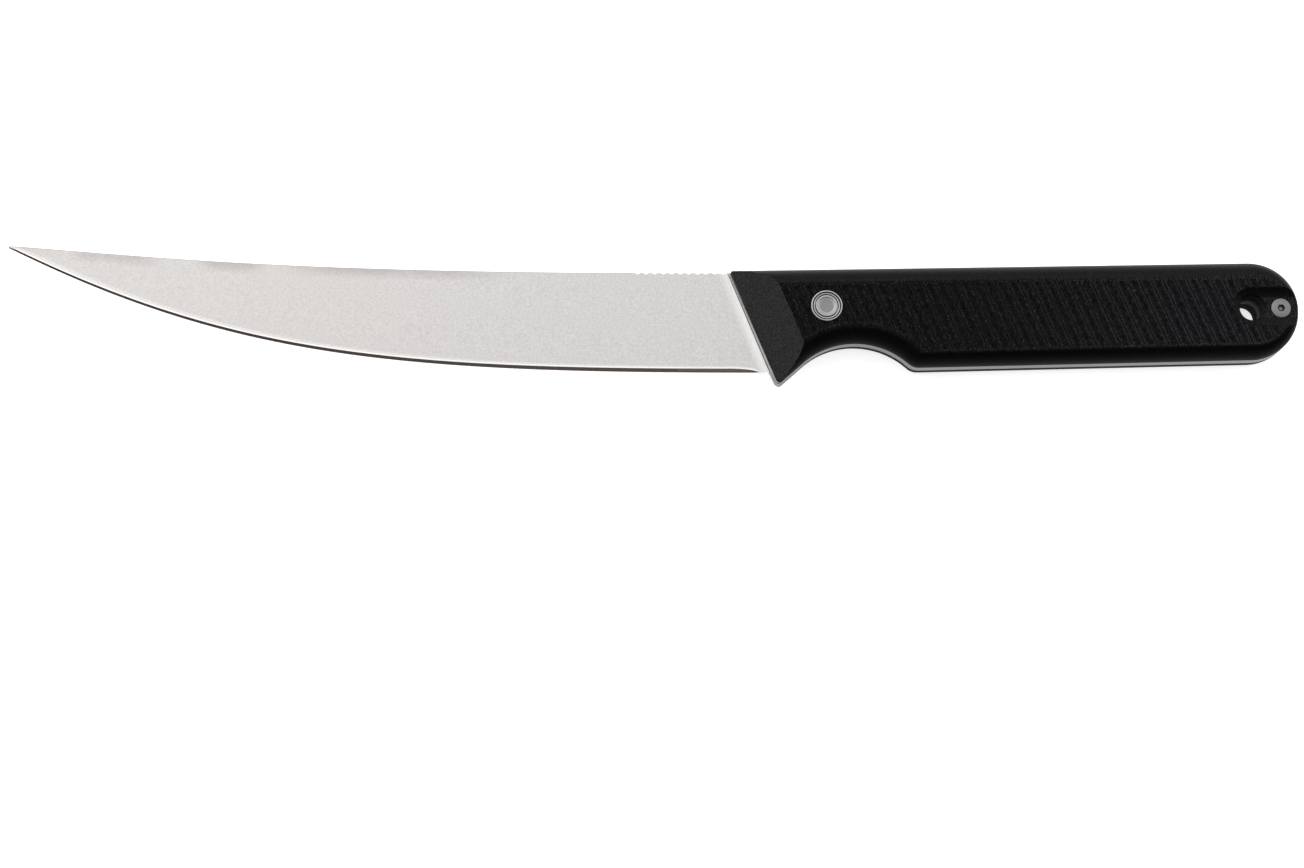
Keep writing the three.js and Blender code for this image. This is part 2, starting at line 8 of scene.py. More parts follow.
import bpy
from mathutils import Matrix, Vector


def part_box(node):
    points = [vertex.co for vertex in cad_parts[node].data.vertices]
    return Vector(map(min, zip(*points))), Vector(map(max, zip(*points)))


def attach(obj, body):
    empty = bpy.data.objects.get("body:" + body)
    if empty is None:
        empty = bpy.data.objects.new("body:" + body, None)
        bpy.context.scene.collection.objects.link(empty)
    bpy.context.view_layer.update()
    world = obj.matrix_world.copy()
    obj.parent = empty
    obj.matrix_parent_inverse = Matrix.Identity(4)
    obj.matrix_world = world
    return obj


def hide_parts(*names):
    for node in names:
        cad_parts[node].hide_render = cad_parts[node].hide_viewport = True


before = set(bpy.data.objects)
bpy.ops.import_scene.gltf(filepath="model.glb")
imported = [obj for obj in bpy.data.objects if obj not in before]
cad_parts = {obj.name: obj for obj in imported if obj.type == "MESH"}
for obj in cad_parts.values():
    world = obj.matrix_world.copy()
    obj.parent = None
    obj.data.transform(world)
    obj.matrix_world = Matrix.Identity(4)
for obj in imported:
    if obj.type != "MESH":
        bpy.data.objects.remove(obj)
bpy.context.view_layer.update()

# %% [markdown]
# Small parts are easier to think about on a bench drawing, in millimetres, with the corner where
# spine and handle meet as the zero point and the tang's middle plane as z = 0. Boolean cuts are
# also safer there, because a 0.2 mm groove is 0.2 units and not 0.0002. Every piece is made on
# that bench and moved into the frame at the end, into its mesh, so that its object stays at the
# origin. The blade's own CAD box says how far the bench is from the frame.

# %% Bench drawing and its place in the frame
import math
import bpy
import bmesh
import numpy as np
from mathutils import Matrix, Vector

MM = 0.001
BLADE_LENGTH = 156.9
TIP_RISE = 6.4
blade_low, blade_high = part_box("blade")
STOCK = round((blade_high.z - blade_low.z) / MM, 3)
bench_zero = Vector((
    blade_low.x + BLADE_LENGTH * MM,
    blade_high.y - TIP_RISE * MM,
    (blade_low.z + blade_high.z) / 2,
))
print("stock", STOCK, "mm, bench zero at", [round(x / MM, 3) for x in bench_zero], "mm")

# %% [markdown]
# A piece starts as plain points and faces, and is then machined as on a bench: tools are joined
# to it or cut out of it with Booleans. The Manifold solver is used, because it gives a closed
# result from closed pieces. With its materials on Transfer, a cut surface takes the material of
# the tool that cut it. The left and right sides of the knife are alike, so a piece that has a twin
# is made once and mirrored. A mirror turns faces inside out, so they are flipped back.

# %% Pieces on the bench and their machining
def add_to_scene(name, mesh):
    piece = bpy.data.objects.new(name, mesh)
    bpy.context.scene.collection.objects.link(piece)
    return piece


def bench_piece(name, points, faces, finish=None):
    """A closed mesh on the bench, with its faces turned outwards."""
    mesh = bpy.data.meshes.new(name)
    mesh.from_pydata([tuple(map(float, p)) for p in points], [], faces)
    form = bmesh.new()
    form.from_mesh(mesh)
    bmesh.ops.remove_doubles(form, verts=form.verts, dist=1e-5)
    bmesh.ops.recalc_face_normals(form, faces=form.faces)
    form.to_mesh(mesh)
    form.free()
    if finish:
        mesh.materials.append(finish)
    return add_to_scene(name, mesh)


def made_plain(piece):
    """Applies a piece's modifiers and leaves a plain mesh."""
    graph = bpy.context.evaluated_depsgraph_get()
    mesh = bpy.data.meshes.new_from_object(piece.evaluated_get(graph))
    piece.modifiers.clear()
    piece.data = mesh
    return piece


def machined(piece, operation, *tools):
    """Joins tools to a piece or cuts them out of it, and puts the tools away."""
    for tool in tools:
        step = piece.modifiers.new(operation.lower(), "BOOLEAN")
        step.operation = operation
        step.solver = "MANIFOLD"
        step.material_mode = "TRANSFER"
        step.object = tool
    made_plain(piece)
    for tool in tools:
        bpy.data.objects.remove(tool)
    return piece


def mirrored(piece):
    """Turns a piece over to the right side of the knife."""
    piece.data.transform(Matrix.Diagonal((1, 1, -1, 1)))
    piece.data.flip_normals()
    return piece


def other_side(piece, name):
    return mirrored(add_to_scene(name, piece.data.copy()))


# %% [markdown]
# Two shapes come up again and again. A loft is a skin over a row of rings with equally many
# points, closed by a cap at each end: the blade, the handle and the ramp are lofts. A turned body
# is a profile spun about an upright axis, as on a lathe: the fasteners and all holes are turned.

# %% Lofts and turned bodies
def ring_loft(rings):
    """Points and faces of a skin over rings of equal length, closed by a cap at each end."""
    count = len(rings[0])
    points = [p for ring in rings for p in ring]
    faces = []
    for k in range(len(rings) - 1):
        low, high = k * count, (k + 1) * count
        for i in range(count):
            j = (i + 1) % count
            faces.append((low + i, low + j, high + j, high + i))
    last = (len(rings) - 1) * count
    faces.append(tuple(reversed(range(count))))
    faces.append(tuple(range(last, last + count)))
    return points, faces


def turned(profile, sides=96, at=(0, 0)):
    """Points and faces of a body turned about z. The profile is a closed loop of (radius, z)."""
    points, faces, rows = [], [], []
    for radius, z in profile:
        steps = sides if radius > 1e-6 else 1
        rows.append(range(len(points), len(points) + steps))
        for i in range(steps):
            turn = 2 * math.pi * i / sides
            points.append((at[0] + radius * math.cos(turn), at[1] + radius * math.sin(turn), z))
    for k, low in enumerate(rows):
        high = rows[(k + 1) % len(rows)]
        if len(low) == 1 and len(high) == 1:
            continue
        for i in range(sides):
            j = (i + 1) % sides
            corners = [low[i % len(low)], low[j % len(low)], high[j % len(high)], high[i % len(high)]]
            faces.append(tuple(dict.fromkeys(corners)))
    return points, faces


def bar(radius, low, high, at=(0, 0), sides=96):
    return turned([(0, low), (radius, low), (radius, high), (0, high)], sides, at)


print("a turned bar has", len(bar(1.0, 0.0, 1.0)[1]), "faces")

# %% [markdown]
# Every material starts from the Principled shader and a few procedural textures that read Object
# coordinates. The objects sit at the origin, so those coordinates are metres in the shared frame:
# a noise scale of 2500 means grains of about 0.4 mm. A small helper keeps the node code readable.
# It makes a node, fills its sockets, and links any socket that is given another node's output.

# %% Node helpers for the finishes
def finish_tree(name):
    """A new material, its node tree and its shader."""
    material = bpy.data.materials.new(name)
    material.use_nodes = True
    shader = material.node_tree.nodes["Principled BSDF"]
    return material, material.node_tree, shader


def wire(tree, target, source):
    if isinstance(source, bpy.types.NodeSocket):
        tree.links.new(source, target)
    else:
        target.default_value = source


def make(tree, kind, sockets=None, **settings):
    made = tree.nodes.new(kind)
    for key, value in settings.items():
        setattr(made, key, value)
    for key, value in (sockets or {}).items():
        wire(tree, made.inputs[key], value)
    return made


def object_place(tree):
    return make(tree, "ShaderNodeTexCoord").outputs["Object"]


def split(tree, vector):
    return make(tree, "ShaderNodeSeparateXYZ", {"Vector": vector}).outputs


# %% [markdown]
# On top of these come patterns, colours and sums. A pattern is noise at a place that may be turned
# and stretched first, so that it runs along a direction. Spread maps one range onto another, and
# tint mixes two colours. A Mix node has sockets for every kind of data, so its colours are reached
# by their numbers.

# %% Patterns, colours and sums
MIX_SHARE, COLOUR_A, COLOUR_B, COLOUR_OUT = 0, 6, 7, 2


def stretched(tree, place, scale, turn=0.0):
    """A place turned about z and stretched, so that a pattern runs along a direction."""
    sockets = {"Vector": place, "Angle": turn}
    at_angle = make(tree, "ShaderNodeVectorRotate", sockets, rotation_type="Z_AXIS").outputs[0]
    return make(tree, "ShaderNodeMapping", {"Vector": at_angle, "Scale": scale}).outputs[0]


def grain(tree, place, scale, detail=3.0, roughness=0.55):
    sockets = {"Vector": place, "Scale": scale, "Detail": detail, "Roughness": roughness}
    return make(tree, "ShaderNodeTexNoise", sockets).outputs["Fac"]


def spread(tree, value, low, high, to_low=0.0, to_high=1.0, way="LINEAR"):
    """Maps the range from low to high onto another range, and holds the ends."""
    sockets = {"Value": value, "From Min": low, "From Max": high, "To Min": to_low, "To Max": to_high}
    return make(tree, "ShaderNodeMapRange", sockets, interpolation_type=way).outputs[0]


def tint(tree, share, first, second):
    sockets = {MIX_SHARE: share, COLOUR_A: first, COLOUR_B: second}
    return make(tree, "ShaderNodeMix", sockets, data_type="RGBA").outputs[COLOUR_OUT]


def reckon(tree, operation, *values, clamp=False):
    """One step of arithmetic on plain values or on other nodes' outputs."""
    sockets = dict(enumerate(values))
    return make(tree, "ShaderNodeMath", sockets, operation=operation, use_clamp=clamp).outputs[0]


def times(tree, first, second):
    return reckon(tree, "MULTIPLY", first, second)


def plus(tree, first, second):
    return reckon(tree, "ADD", first, second)


def bumped(tree, shader, height, distance, strength=1.0):
    bump = make(tree, "ShaderNodeBump", {"Height": height, "Distance": distance, "Strength": strength})
    tree.links.new(bump.outputs[0], shader.inputs["Normal"])


# %% [markdown]
# Some painted light and shade on the blade has a fixed place: painted dark reflections just below
# the spine, a painted highlight along the plunge in front of the handle, and painted shade on the
# strip right at the scale. They could be painted on an image, but distances worked out from Object
# coordinates stay sharp at any size and need no unwrapping. Two distances are enough: how far a
# point lies below the spine, and how far behind the raked front of the handle.

# %% Painted reflections, highlight and shade on the blade
RAKE = math.radians(21.9)
SPINE_BEND = 2.4
# Places and reaches of the painted dark reflections below the spine, and their tint.
DARK_REFLECTION_SPOTS = ((134.0, 11.0), (108.5, 8.0), (73.0, 27.0))
DARK_REFLECTION_TINT = (0.24, 0.21, 0.20, 1)
# Tint of the painted shade on the strip at the scale.
SHADE_TINT = (0.12, 0.10, 0.095, 1)
STRIP_HEIGHT = 18.0


def below_spine(tree, axes):
    """Distance below the spine in metres, with the spine's curve as a power of the way to the tip."""
    ahead = spread(tree, axes["X"], bench_zero.x, bench_zero.x - BLADE_LENGTH * MM)
    bend = reckon(tree, "POWER", ahead, SPINE_BEND)
    spine_y = spread(tree, bend, 0.0, 1.0, bench_zero.y, bench_zero.y + TIP_RISE * MM)
    return reckon(tree, "SUBTRACT", spine_y, axes["Y"])


def behind_front(tree, place):
    """Distance behind the handle's raked front, in metres."""
    front = bench_zero.x * math.cos(RAKE) + bench_zero.y * math.sin(RAKE)
    return plus(tree, split(tree, stretched(tree, place, (1, 1, 1), -RAKE))["X"], -front)


def with_dark_reflections(tree, place, axes, steel):
    """Painted dark reflections below the spine, each at a distance ahead of the handle and with a reach.
    """
    clouds = grain(tree, stretched(tree, place, (42.0, 160.0, 60.0)), 1.0, 2.0)
    reflection_share = spread(tree, clouds, 0.3, 0.6, -0.3, 0.0)
    for ahead, reach in DARK_REFLECTION_SPOTS:
        away = reckon(tree, "ABSOLUTE", plus(tree, axes["X"], ahead * MM - bench_zero.x))
        reflection_share = plus(tree, reflection_share, spread(tree, away, reach * MM, 0.5 * reach * MM))
    near_spine = spread(tree, below_spine(tree, axes), 2.6 * MM, 0.6 * MM, 0.0, 0.34)
    return tint(tree, reckon(tree, "MULTIPLY", reflection_share, near_spine, clamp=True), steel, DARK_REFLECTION_TINT)


def lit_and_shaded_at_handle(tree, place, axes, steel, pale):
    """Painted highlight along the plunge, painted shade at the scale; both change towards the spine."""
    behind = behind_front(tree, place)
    low = bench_zero.y - STRIP_HEIGHT * MM
    # Painted highlight on the plunge, stronger towards the edge.
    at_plunge = spread(tree, behind, -2.8 * MM, -1.2 * MM)
    graded = spread(tree, axes["Y"], low, bench_zero.y, 0.85, 0.52)
    steel = tint(tree, times(tree, at_plunge, graded), steel, pale)
    # Painted shade on the strip at the scale, stronger towards the spine.
    at_scale = spread(tree, behind, -0.44 * MM, -0.34 * MM)
    in_shade = spread(tree, axes["Y"], low, bench_zero.y, 0.2, 0.48)
    return tint(tree, times(tree, at_scale, in_shade), steel, SHADE_TINT)


print("smudges at", [ahead for ahead, _ in DARK_REFLECTION_SPOTS], "mm ahead of the handle")

# %% [markdown]
# Stonewashed steel has been tumbled with stones: thousands of tiny dents in every direction, with
# no grinding lines left. From a hand's width away it is a soft, slightly mottled light grey. Noise
# at two sizes makes it: grains of a little under half a millimetre and specks of a seventh. They
# vary colour, roughness and a very low bump, and towards the tip the tone turns warmer. The same
# finish in a paler grey is the painted highlight on the band above the edge.

# %% Stonewashed steel
# Colour of the painted highlight along the plunge.
PLUNGE_HIGHLIGHT = (0.86, 0.845, 0.84, 1)
WARM_FROM, WARM_FULL = 0.0, -0.075


def stonewashed(name, light, dark, warm):
    material, tree, shader = finish_tree(name)
    place = object_place(tree)
    axes = split(tree, place)
    grains = grain(tree, place, 2300.0, 4.0, 0.65)
    specks = grain(tree, place, 7000.0, 2.0)
    mottle = plus(tree, times(tree, spread(tree, grains, 0.3, 0.7), 0.6), times(tree, specks, 0.4))
    towards_tip = spread(tree, axes["X"], WARM_FROM, WARM_FULL)
    steel = tint(tree, mottle, dark, light)
    steel = tint(tree, towards_tip, steel, tint(tree, mottle, dark, warm))
    # Painted dark reflections below the spine.
    steel = with_dark_reflections(tree, place, axes, steel)
    # Painted highlight along the plunge and painted shade at the scale.
    steel = lit_and_shaded_at_handle(tree, place, axes, steel, PLUNGE_HIGHLIGHT)
    tree.links.new(steel, shader.inputs["Base Color"])
    tree.links.new(spread(tree, mottle, 0.2, 0.8, 0.48, 0.36), shader.inputs["Roughness"])
    shader.inputs["Metallic"].default_value = 1.0
    bumped(tree, shader, plus(tree, grains, times(tree, specks, 0.4)), 0.000012, 0.5)
    return material


BLADE_STEEL = stonewashed(
    "stonewashed_steel", light=(0.722, 0.712, 0.704, 1), dark=(0.51, 0.502, 0.496, 1),
    warm=(0.728, 0.685, 0.67, 1),
)
# A paler grey of the same finish, the painted highlight on the band above the edge.
BAND_HIGHLIGHT_STEEL = stonewashed(
    "painted_highlight_band", light=(0.81, 0.795, 0.785, 1), dark=(0.60, 0.59, 0.58, 1),
    warm=(0.82, 0.775, 0.755, 1),
)
print("finishes:", BLADE_STEEL.name, BAND_HIGHLIGHT_STEEL.name)

# %% [markdown]
# Where the edge is honed, the steel is polished by a fine wheel. The bevel is a narrow mirror
# that leans towards the viewer, so it shows the dark side of the room and looks almost black; its
# colour is painted dark as well, a painted dark reflection. Just above it a painted highlight makes
# a bright line. The wall of the plunge and the insides of holes take painted shade, darkest in the
# upper half of a hole, below the scale. The tang's edge is plain satin steel, with a grain that runs
# along the handle. All of these are one recipe, a colour with fine lines in it, and differ in colour,
# roughness and direction.

# %% Honed bevel, painted highlight, painted shade and tang edge
def honed(name, base, roughness, along, shaded=None):
    material, tree, shader = finish_tree(name)
    place = object_place(tree)
    lines = grain(tree, stretched(tree, place, along), 1.0, 3.0, 0.6)
    dark = tuple(0.8 * c for c in base[:3]) + (1,)
    steel = tint(tree, lines, dark, base)
    if shaded:
        # Painted shade: the upper half of a hole, below the scale, is darker.
        height = split(tree, place)["Z"]
        upper = spread(tree, height, bench_zero.z - 0.3 * MM, bench_zero.z + 0.3 * MM)
        steel = tint(tree, upper, steel, shaded)
    tree.links.new(steel, shader.inputs["Base Color"])
    gloss = spread(tree, lines, 0.3, 0.7, roughness, roughness + 0.08)
    tree.links.new(gloss, shader.inputs["Roughness"])
    shader.inputs["Metallic"].default_value = 1.0
    return material


ALONG_BLADE, ALONG_HANDLE = (900.0, 5000.0, 5000.0), (160.0, 4200.0, 4200.0)
# Painted shade for the insides of the tang's holes, darkest in their upper half.
SHADED_BORE = (0.008, 0.007, 0.007, 1)
# The bevel's dark colour is partly a painted dark reflection.
BEVEL_STEEL = honed("honed_bevel", (0.16, 0.13, 0.118, 1), 0.22, ALONG_BLADE)
# A painted highlight: the bright line above the bevel.
BRIGHT_LINE = honed("painted_highlight_line", (0.97, 0.95, 0.94, 1), 0.3, ALONG_BLADE)
# Painted shade for the wall of the plunge, the collar's groove and the rear socket.
SHADE_WALL_STEEL = honed("painted_shade_wall", (0.09, 0.075, 0.07, 1), 0.55, ALONG_BLADE)
SPINE_STEEL = honed("spine_satin", (0.40, 0.375, 0.365, 1), 0.4, ALONG_BLADE)
BORE_STEEL = honed("bore_steel", (0.035, 0.033, 0.032, 1), 0.6, ALONG_BLADE, SHADED_BORE)
NOTCH_STEEL = honed("notch_satin", (0.60, 0.59, 0.58, 1), 0.38, ALONG_BLADE)
TANG_STEEL = honed("tang_edge_satin", (0.21, 0.205, 0.20, 1), 0.38, ALONG_HANDLE)
print("finishes of the edge:", BEVEL_STEEL.name, BRIGHT_LINE.name, SHADE_WALL_STEEL.name)
print("finishes of the rest:", SPINE_STEEL.name, BORE_STEEL.name, NOTCH_STEEL.name, TANG_STEEL.name)

# %% [markdown]
# The pitch of the ribs is needed twice: for the grooves, which are cut later, and for the marks of
# the cutter, which run in step with them, two to a groove. A cosine of the distance behind the
# first groove draws those marks. They could be cut into the mesh as well, but they are so shallow
# that a change of tone is all that shows.

# %% Pitch of the ribs and the cutter's marks
RAMP_RUN, RIB_START, RIB_PITCH = 8.1, 0.85, 1.22
TOOL_PITCH = RIB_PITCH / 2


def tool_lines(tree, place):
    """A fine wave across the ribs, in step with the grooves, from -1 to 1."""
    behind_first = plus(tree, behind_front(tree, place), -(RAMP_RUN + RIB_START) * MM)
    turns = times(tree, behind_first, 2 * math.pi / (TOOL_PITCH * MM))
    return times(tree, reckon(tree, "COSINE", turns), -1.0)


print("a cutter's mark every", TOOL_PITCH, "mm")

# %% [markdown]
# The scales are a black fibre laminate. Milled across, it breaks up into short pale strokes along
# the ribs, a fifth of a millimetre wide and about one long, with pale flecks and with fine lines
# from the tool, on nearly black resin. Towards the butt the ribs turn paler and bluer. The rounded
# edges are smooth: the palm has polished them along the top, and painted light makes them paler
# where they level out into the face. The ramp at the front is bead blasted and speckled, and its
# paler grey is partly painted light. The holes are dull, and they and the grooves are painted paler
# to lift the shade in them. One function makes all of these, and each trait is switched on where it
# belongs.

# %% Black laminate in its finishes
def grey(value, blue=1.0):
    return (value, value, value * blue, 1)


def laminate(
    name, dark, pale, roughness, gloss, strokes, graded=None, polished=None, fleck=None, lit_where_level=None
):
    material, tree, shader = finish_tree(name)
    place = object_place(tree)
    axes = split(tree, place)
    fibres = grain(tree, stretched(tree, place, (4600.0, 900.0, 2000.0), -RAKE), 1.0, 2.0, 0.6)
    specks = grain(tree, place, 5200.0, 2.0, 0.7)
    weave = plus(tree, times(tree, fibres, strokes), times(tree, specks, 1 - strokes))
    if fleck:
        weave = plus(tree, weave, times(tree, tool_lines(tree, place), 0.08))
    if graded:
        # A tone graded along one axis; in the trough it is painted shade.
        far_tone, axis, start, end = graded
        pale = tint(tree, spread(tree, axes[axis], start, end), pale, far_tone)
    if lit_where_level:
        # Painted light: paler where the surface faces straight out.
        lean = split(tree, make(tree, "ShaderNodeNewGeometry").outputs["Normal"])["Z"]
        pale = tint(tree, spread(tree, reckon(tree, "ABSOLUTE", lean), 0.9, 1.0), pale, lit_where_level)
    if polished:
        towards_palm = spread(tree, axes["Y"], -2 * MM, 5 * MM, gloss, polished)
        tree.links.new(towards_palm, shader.inputs["Specular IOR Level"])
    else:
        shader.inputs["Specular IOR Level"].default_value = gloss
    resin = tint(tree, spread(tree, weave, 0.42, 0.60), dark, pale)
    if fleck:
        flecks = spread(tree, grain(tree, place, 3600.0, 1.0), 0.58, 0.72)
        resin = tint(tree, flecks, resin, fleck)
    tree.links.new(resin, shader.inputs["Base Color"])
    dullness = spread(tree, weave, 0.3, 0.7, roughness + 0.14, roughness)
    tree.links.new(dullness, shader.inputs["Roughness"])
    bumped(tree, shader, weave, 0.00008, 0.7)
    return material


RIB_LAMINATE = laminate(
    "laminate_ribs", grey(0.0005), grey(0.0115, 1.03), 0.55, 0.045, 0.45,
    graded=(grey(0.03, 1.12), "X", 0.07, 0.12), fleck=grey(0.042, 1.06),
)
# The grooves are painted paler than the lands, to lift the shade in them.
GROOVE_LAMINATE = laminate(
    "laminate_grooves", grey(0.0003), grey(0.017), 0.6, 0.03, 0.4,
    graded=(grey(0.022, 1.12), "X", 0.06, 0.12),
)
# The rounded edges get painted light where they level out into the face.
EDGE_LAMINATE = laminate(
    "laminate_rounded", grey(0.0016), grey(0.0037), 0.4, 0.014, 0.6,
    polished=0.11, lit_where_level=grey(0.0145),
)
# Bead blasted, and its paler grey is partly painted light on the facet.
RAMP_LAMINATE = laminate("laminate_ramp", grey(0.006), grey(0.042), 0.6, 0.14, 0.15)
# The bores are painted paler, to lift the shade in the holes.
BORE_LAMINATE = laminate("laminate_bore", grey(0.02), grey(0.05), 0.85, 0.02, 0.4)
print("finishes of the face:", RIB_LAMINATE.name, GROOVE_LAMINATE.name, RAMP_LAMINATE.name)
print("finishes beside it:", EDGE_LAMINATE.name, BORE_LAMINATE.name)

# %% [markdown]
# The blade has an upswept outline, and two Bezier curves are its spine and its edge. Each leaves
# the handle in a straight line and arrives at the tip at an angle of its own. A curve's points
# aren't evenly spaced, so each point's share of the curve's length is worked out as well.

# %% Spine and edge curves
HEEL_HEIGHT = 22.15
TIP_HEIGHT = 0.5
HEEL_X = HEEL_HEIGHT * math.tan(RAKE)


def bezier(start, lead, pull, angle, end, steps=600):
    """Corners of a cubic curve, points on it, and each point's share of the way along it."""
    lean = math.radians(angle)
    tip_handle = (end[0] + pull * math.cos(lean), end[1] - pull * math.sin(lean))
    corners = np.array([start, (start[0] - lead, start[1]), tip_handle, end])
    t = np.linspace(0, 1, steps)[:, None]
    weights = ((1 - t) ** 3, 3 * (1 - t) ** 2 * t, 3 * (1 - t) * t ** 2, t ** 3)
    curve = sum(weight * corner for weight, corner in zip(weights, corners))
    run = np.concatenate([[0], np.cumsum(np.linalg.norm(np.diff(curve, axis=0), axis=1))])
    return corners, curve, run / run[-1]


spine_corners, spine_curve, spine_run = bezier((0, 0), 93.8, 33.9, 4.6, (-BLADE_LENGTH, TIP_RISE))
_, edge_curve, edge_run = bezier(
    (HEEL_X, -HEEL_HEIGHT), 79.6, 56.5, 26.7, (-BLADE_LENGTH, TIP_RISE - TIP_HEIGHT)
)
print("edge from", edge_curve[0].round(2), "to", edge_curve[-1].round(2))

# %% [markdown]
# The blade itself is a loft. At each station a section is drawn from a point on the spine to a
# point on the edge: flat sides that thin towards the edge, a small chamfer at the spine and the
# honed bevel at the bottom. Right in front of the handle the sections keep the full thickness, then
# hollow out into the flat grind like a quarter circle. Towards the point the bevel takes up more
# than half of the height that is left. A loft of plain numbers is chosen over sculpting, because
# each size can be read off.

# %% Section of the blade at a station
TIP_STOCK = 0.7
SHOULDER = 0.45
EDGE_LAND = 0.04
BEVEL_AT_HEEL, BEVEL_AT_TIP = 0.95, 0.45
BEVEL_LIMIT, BEVEL_LEAST = 0.6, 0.05
BEVEL_FADE = 5.5
BLUNT_HEEL = 2.7
RICASSO = 0.45
PLUNGE = 2.4
SPINE_CHAMFER = 0.18
# Widths of the painted highlight line and of the painted highlight band above the bevel.
BRIGHT_WIDTH, BAND_LIMIT = 0.34, 0.3
LIT_BAND_AT_HEEL, LIT_BAND_AT_TIP = 0.25, 0.75
FLAT_ROWS = 14


def on_curve(curve, run, share):
    return np.array([np.interp(share, run, curve[:, 0]), np.interp(share, run, curve[:, 1])])


def quarter_rise(share):
    left = 1 - min(1.0, max(0.0, share))
    return math.sqrt(1 - left * left)


def lerp(a, b, share):
    return a + (b - a) * share


def blade_half(distance):
    """One side of the section, from the spine to the edge, as (x, y, half thickness)."""
    share = min(1.0, max(0.0, distance / BLADE_LENGTH))
    inside = np.array([max(0.0, -distance), 0.0])
    top = on_curve(spine_curve, spine_run, share) + inside
    low = on_curve(edge_curve, edge_run, share) + inside
    height = np.linalg.norm(low - top)
    down = (low - top) / height
    closing = min(1.0, height / (2 * BEVEL_AT_HEEL))
    ground = quarter_rise((distance - RICASSO) / PLUNGE)
    sharp = quarter_rise((distance - BLUNT_HEEL) / BEVEL_FADE)
    spine_half = closing * lerp(STOCK, TIP_STOCK, share) / 2
    shoulder_half = closing * lerp(STOCK, SHOULDER, ground) / 2
    edge_half = lerp(shoulder_half, EDGE_LAND / 2 * closing, sharp)
    bevel = lerp(BEVEL_AT_HEEL, BEVEL_AT_TIP, share) * max(BEVEL_LEAST, sharp)
    flat = height - min(bevel, BEVEL_LIMIT * height)
    chamfer = SPINE_CHAMFER * closing
    bright = min(BRIGHT_WIDTH, BAND_LIMIT * flat)
    lit_band = bright + min(lerp(LIT_BAND_AT_HEEL, LIT_BAND_AT_TIP, share), BAND_LIMIT * flat)
    drops = [lerp(chamfer, flat - lit_band, k / FLAT_ROWS) for k in range(FLAT_ROWS + 1)]
    drops += [flat - bright, flat]
    rows = [(top, spine_half - chamfer)]
    rows += [(top + down * drop, lerp(spine_half, shoulder_half, drop / flat)) for drop in drops]
    rows += [(low, edge_half)]
    return [(p[0], p[1], z) for p, z in rows]


print("a side of the section has", len(blade_half(BLADE_LENGTH / 2)), "points")

# %% [markdown]
# Stations crowd together where the plunge and the end of the bevel turn quickly, and lie evenly
# along the rest. A ring is one side of the section followed by its mirror image, and the loft is
# the skin over all rings. The first rings lie inside the handle, where the tang will be joined.

# %% Loft of the blade
crowded = 1 - np.cos(np.linspace(0, np.pi / 2, 22))
stations = np.concatenate([
    [-1.0, -0.3, 0.0],
    RICASSO + PLUNGE * crowded,
    BLUNT_HEEL + BEVEL_FADE * crowded,
    np.linspace(BLUNT_HEEL + BEVEL_FADE, BLADE_LENGTH, 110),
])
stations = np.unique(stations.round(3))
rings = []
for distance in stations:
    half = blade_half(distance)
    rings.append(half + [(x, y, -z) for x, y, z in reversed(half)])
blade = bench_piece("blade_and_tang", *ring_loft(rings))
print("blade loft:", len(stations), "stations,", len(rings[0]), "points each")

# %% [markdown]
# The finishes of the blade lie in bands along it: spine, flat, a band and a bright line of painted
# highlight, and bevel. The loft makes its faces station by station and row by row, so a face's number
# says which band it lies in, and no faces have to be picked by hand. The wall of the plunge, which
# takes painted shade, is the first short step ahead of the ricasso, the strip of full thickness in
# front of the scales.

# %% Finishes of the blade, band by band
FLAT, BEVEL, BRIGHT, WALL, SPINE, LIT_BAND = range(6)
for material in (BLADE_STEEL, BEVEL_STEEL, BRIGHT_LINE, SHADE_WALL_STEEL, SPINE_STEEL, BAND_HIGHLIGHT_STEEL):
    blade.data.materials.append(material)
EDGE_ROW = FLAT_ROWS + 4
LAST_ROW = 2 * EDGE_ROW + 1
WALL_WIDTH = 0.16
bands = {0: SPINE, LAST_ROW - 1: SPINE, LAST_ROW: SPINE}
for away, band in ((1, BEVEL), (2, BRIGHT), (3, LIT_BAND)):
    bands.update({EDGE_ROW - away: band, EDGE_ROW + away: band})
for polygon in blade.data.polygons[:(len(rings) - 1) * len(rings[0])]:
    station, row = divmod(polygon.index, len(rings[0]))
    ahead = stations[station]
    on_land = row == EDGE_ROW and ahead > BLUNT_HEEL + 0.5 * BEVEL_FADE
    if ahead >= BLUNT_HEEL:
        polygon.material_index = BEVEL if on_land else bands.get(row, FLAT)
    elif RICASSO <= ahead < RICASSO + WALL_WIDTH:
        polygon.material_index = WALL
print("bevel faces:", sum(p.material_index == BEVEL for p in blade.data.polygons))

# %% [markdown]
# The handle's outline is six straight lines joined by arcs: the raked front, the two sides of the
# finger notch, the bottom, the round butt and the top. The butt has two corners, each rounded by
# almost half its height. Each line knows how wide the roundover along it is: widest at the top,
# where the palm lies.

